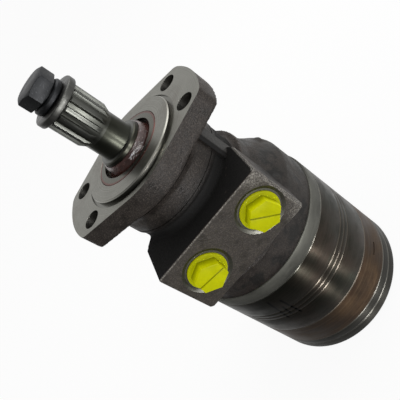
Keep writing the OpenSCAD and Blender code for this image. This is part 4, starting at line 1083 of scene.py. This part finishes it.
# %% One cap screw inside a node group
def pillar(group, kind, low, height, inputs):
    """A cylinder or cone that stands between low and low + height."""
    made = add(group, kind, inputs | {"Depth": height}).outputs["Mesh"]
    if kind == "GeometryNodeMeshCylinder":
        low = calc(group, "ADD", low, calc(group, "MULTIPLY", height, 0.5))
    lift = add(group, "ShaderNodeCombineXYZ", {"Z": low})
    moved = add(group, "GeometryNodeTransform", {"Geometry": made, "Translation": lift.outputs[0]})
    return moved.outputs[0]


def cap_screw(group, given):
    """A cap screw with its head towards -Z, from the sizes that the group is given."""
    head_r, head_height, edge = given["Head Radius"], given["Head Height"], given["Edge"]
    narrow = calc(group, "SUBTRACT", head_r, edge)
    rim = pillar(group, "GeometryNodeMeshCone", 0.0, edge,
                 {"Vertices": 48, "Radius Bottom": narrow, "Radius Top": head_r})
    drum = pillar(group, "GeometryNodeMeshCylinder", edge, calc(group, "SUBTRACT", head_height, edge),
                  {"Vertices": 48, "Radius": head_r})
    shank = pillar(group, "GeometryNodeMeshCylinder", calc(group, "MULTIPLY", head_height, 0.5),
                   given["Shank Length"], {"Vertices": 32, "Radius": given["Shank Radius"]})
    deep = given["Socket Depth"]
    socket = pillar(group, "GeometryNodeMeshCylinder", calc(group, "MULTIPLY", deep, -1.0),
                    calc(group, "MULTIPLY", deep, 2.0), {"Vertices": 6, "Radius": given["Socket Radius"]})
    solid = add(group, "GeometryNodeMeshBoolean", operation="UNION")
    for part in (rim, drum, shank):
        group.links.new(part, solid.inputs["Mesh 2"])
    screw = add(group, "GeometryNodeMeshBoolean", {"Mesh 1": solid.outputs["Mesh"], "Mesh 2": socket},
                operation="DIFFERENCE")
    return screw.outputs["Mesh"]


# %% Node group for a ring of cap screws
def screw_ring_group(material, lengths):
    """A node group that makes a ring of cap screws, with one input for each named length."""
    group = bpy.data.node_groups.new("cap_screw_ring", "GeometryNodeTree")
    group.interface.new_socket("Geometry", in_out="OUTPUT", socket_type="NodeSocketGeometry")
    group.interface.new_socket("Screws", in_out="INPUT", socket_type="NodeSocketInt")
    for name in lengths:
        group.interface.new_socket(name, in_out="INPUT", socket_type="NodeSocketFloat")
    given = add(group, "NodeGroupInput").outputs
    screw = cap_screw(group, given)
    ring = add(group, "GeometryNodeMeshCircle", {"Vertices": given["Screws"], "Radius": given["Ring Radius"]})
    first = add(group, "ShaderNodeCombineXYZ", {"Z": given["First Angle"]})
    turned = add(group, "GeometryNodeTransform", {"Geometry": ring.outputs[0], "Rotation": first.outputs[0]})
    copies = add(group, "GeometryNodeInstanceOnPoints", {"Points": turned.outputs[0], "Instance": screw})
    solid = add(group, "GeometryNodeRealizeInstances", {"Geometry": copies.outputs[0]})
    painted = add(group, "GeometryNodeSetMaterial", {"Geometry": solid.outputs[0], "Material": material})
    out = add(group, "NodeGroupOutput")
    group.links.new(painted.outputs[0], out.inputs[0])
    return group


screw_sizes = {"First Angle": math.radians(FIRST_BOLT), "Ring Radius": BOLT_CIRCLE * MM,
               "Head Radius": 7.2 * MM, "Head Height": 6 * MM, "Edge": 0.7 * MM, "Socket Radius": 4.62 * MM,
               "Socket Depth": 3.4 * MM, "Shank Radius": 4.9 * MM, "Shank Length": 120 * MM}
screw_ring = screw_ring_group(black_steel, screw_sizes)
print("The screw group has", len(screw_ring.nodes), "nodes")

# %% Put the ring of screws in the cover
HEADS_AT = -227.6

screws = bpy.data.objects.new("cap_screws", bpy.data.meshes.new("cap_screws"))
bpy.context.scene.collection.objects.link(screws)
maker = screws.modifiers.new("screw_ring", "NODES")
maker.node_group = screw_ring
for item in screw_ring.interface.items_tree:
    if item.in_out == "INPUT":
        maker[item.identifier] = STACK_BOLTS if item.name == "Screws" else screw_sizes[item.name]
apply_modifiers(screws)
screws.data.transform(Matrix.Translation((0, 0, HEADS_AT * MM)))
sharpen(screws.data)
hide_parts("cover_bolts")
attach(screws, "housing")
print("Seven screws have", len(screws.data.polygons), "faces")

# %% [markdown]
# ## Finishes for the nodes that keep their shape
# The other nodes are right as they are, so each one only gets its finish.

# %% Assign materials to CAD nodes
finishes = {
    oily_iron: ["seal_carrier"],
    nitrile: ["dust_seal"],
    shaft_steel: ["thrust_needles", "rotor", "commutator"],
    washer_steel: ["seal_backup_ring", "thrust_race"],
    black_steel: ["drive_link"],
    brazed_plates: ["manifold"],
    bronze: ["thrust_cage", "outer_bushing", "inner_bushing", "rear_thrust_washer", "commutator_seal"],
    black_rubber: ["shaft_seal"],
}
finishes[shaft_steel] += [f"roller_{i}" for i in range(1, 8)]
finishes[black_rubber] += [f"seal_ring_{i}" for i in range(1, 6)]
for material, names in finishes.items():
    for name in names:
        slots = nodes[name].material_slots
        if not slots:
            nodes[name].data.materials.append(material)
        for slot in slots:
            slot.material = material
print("Finished", sum(len(names) for names in finishes.values()), "nodes")
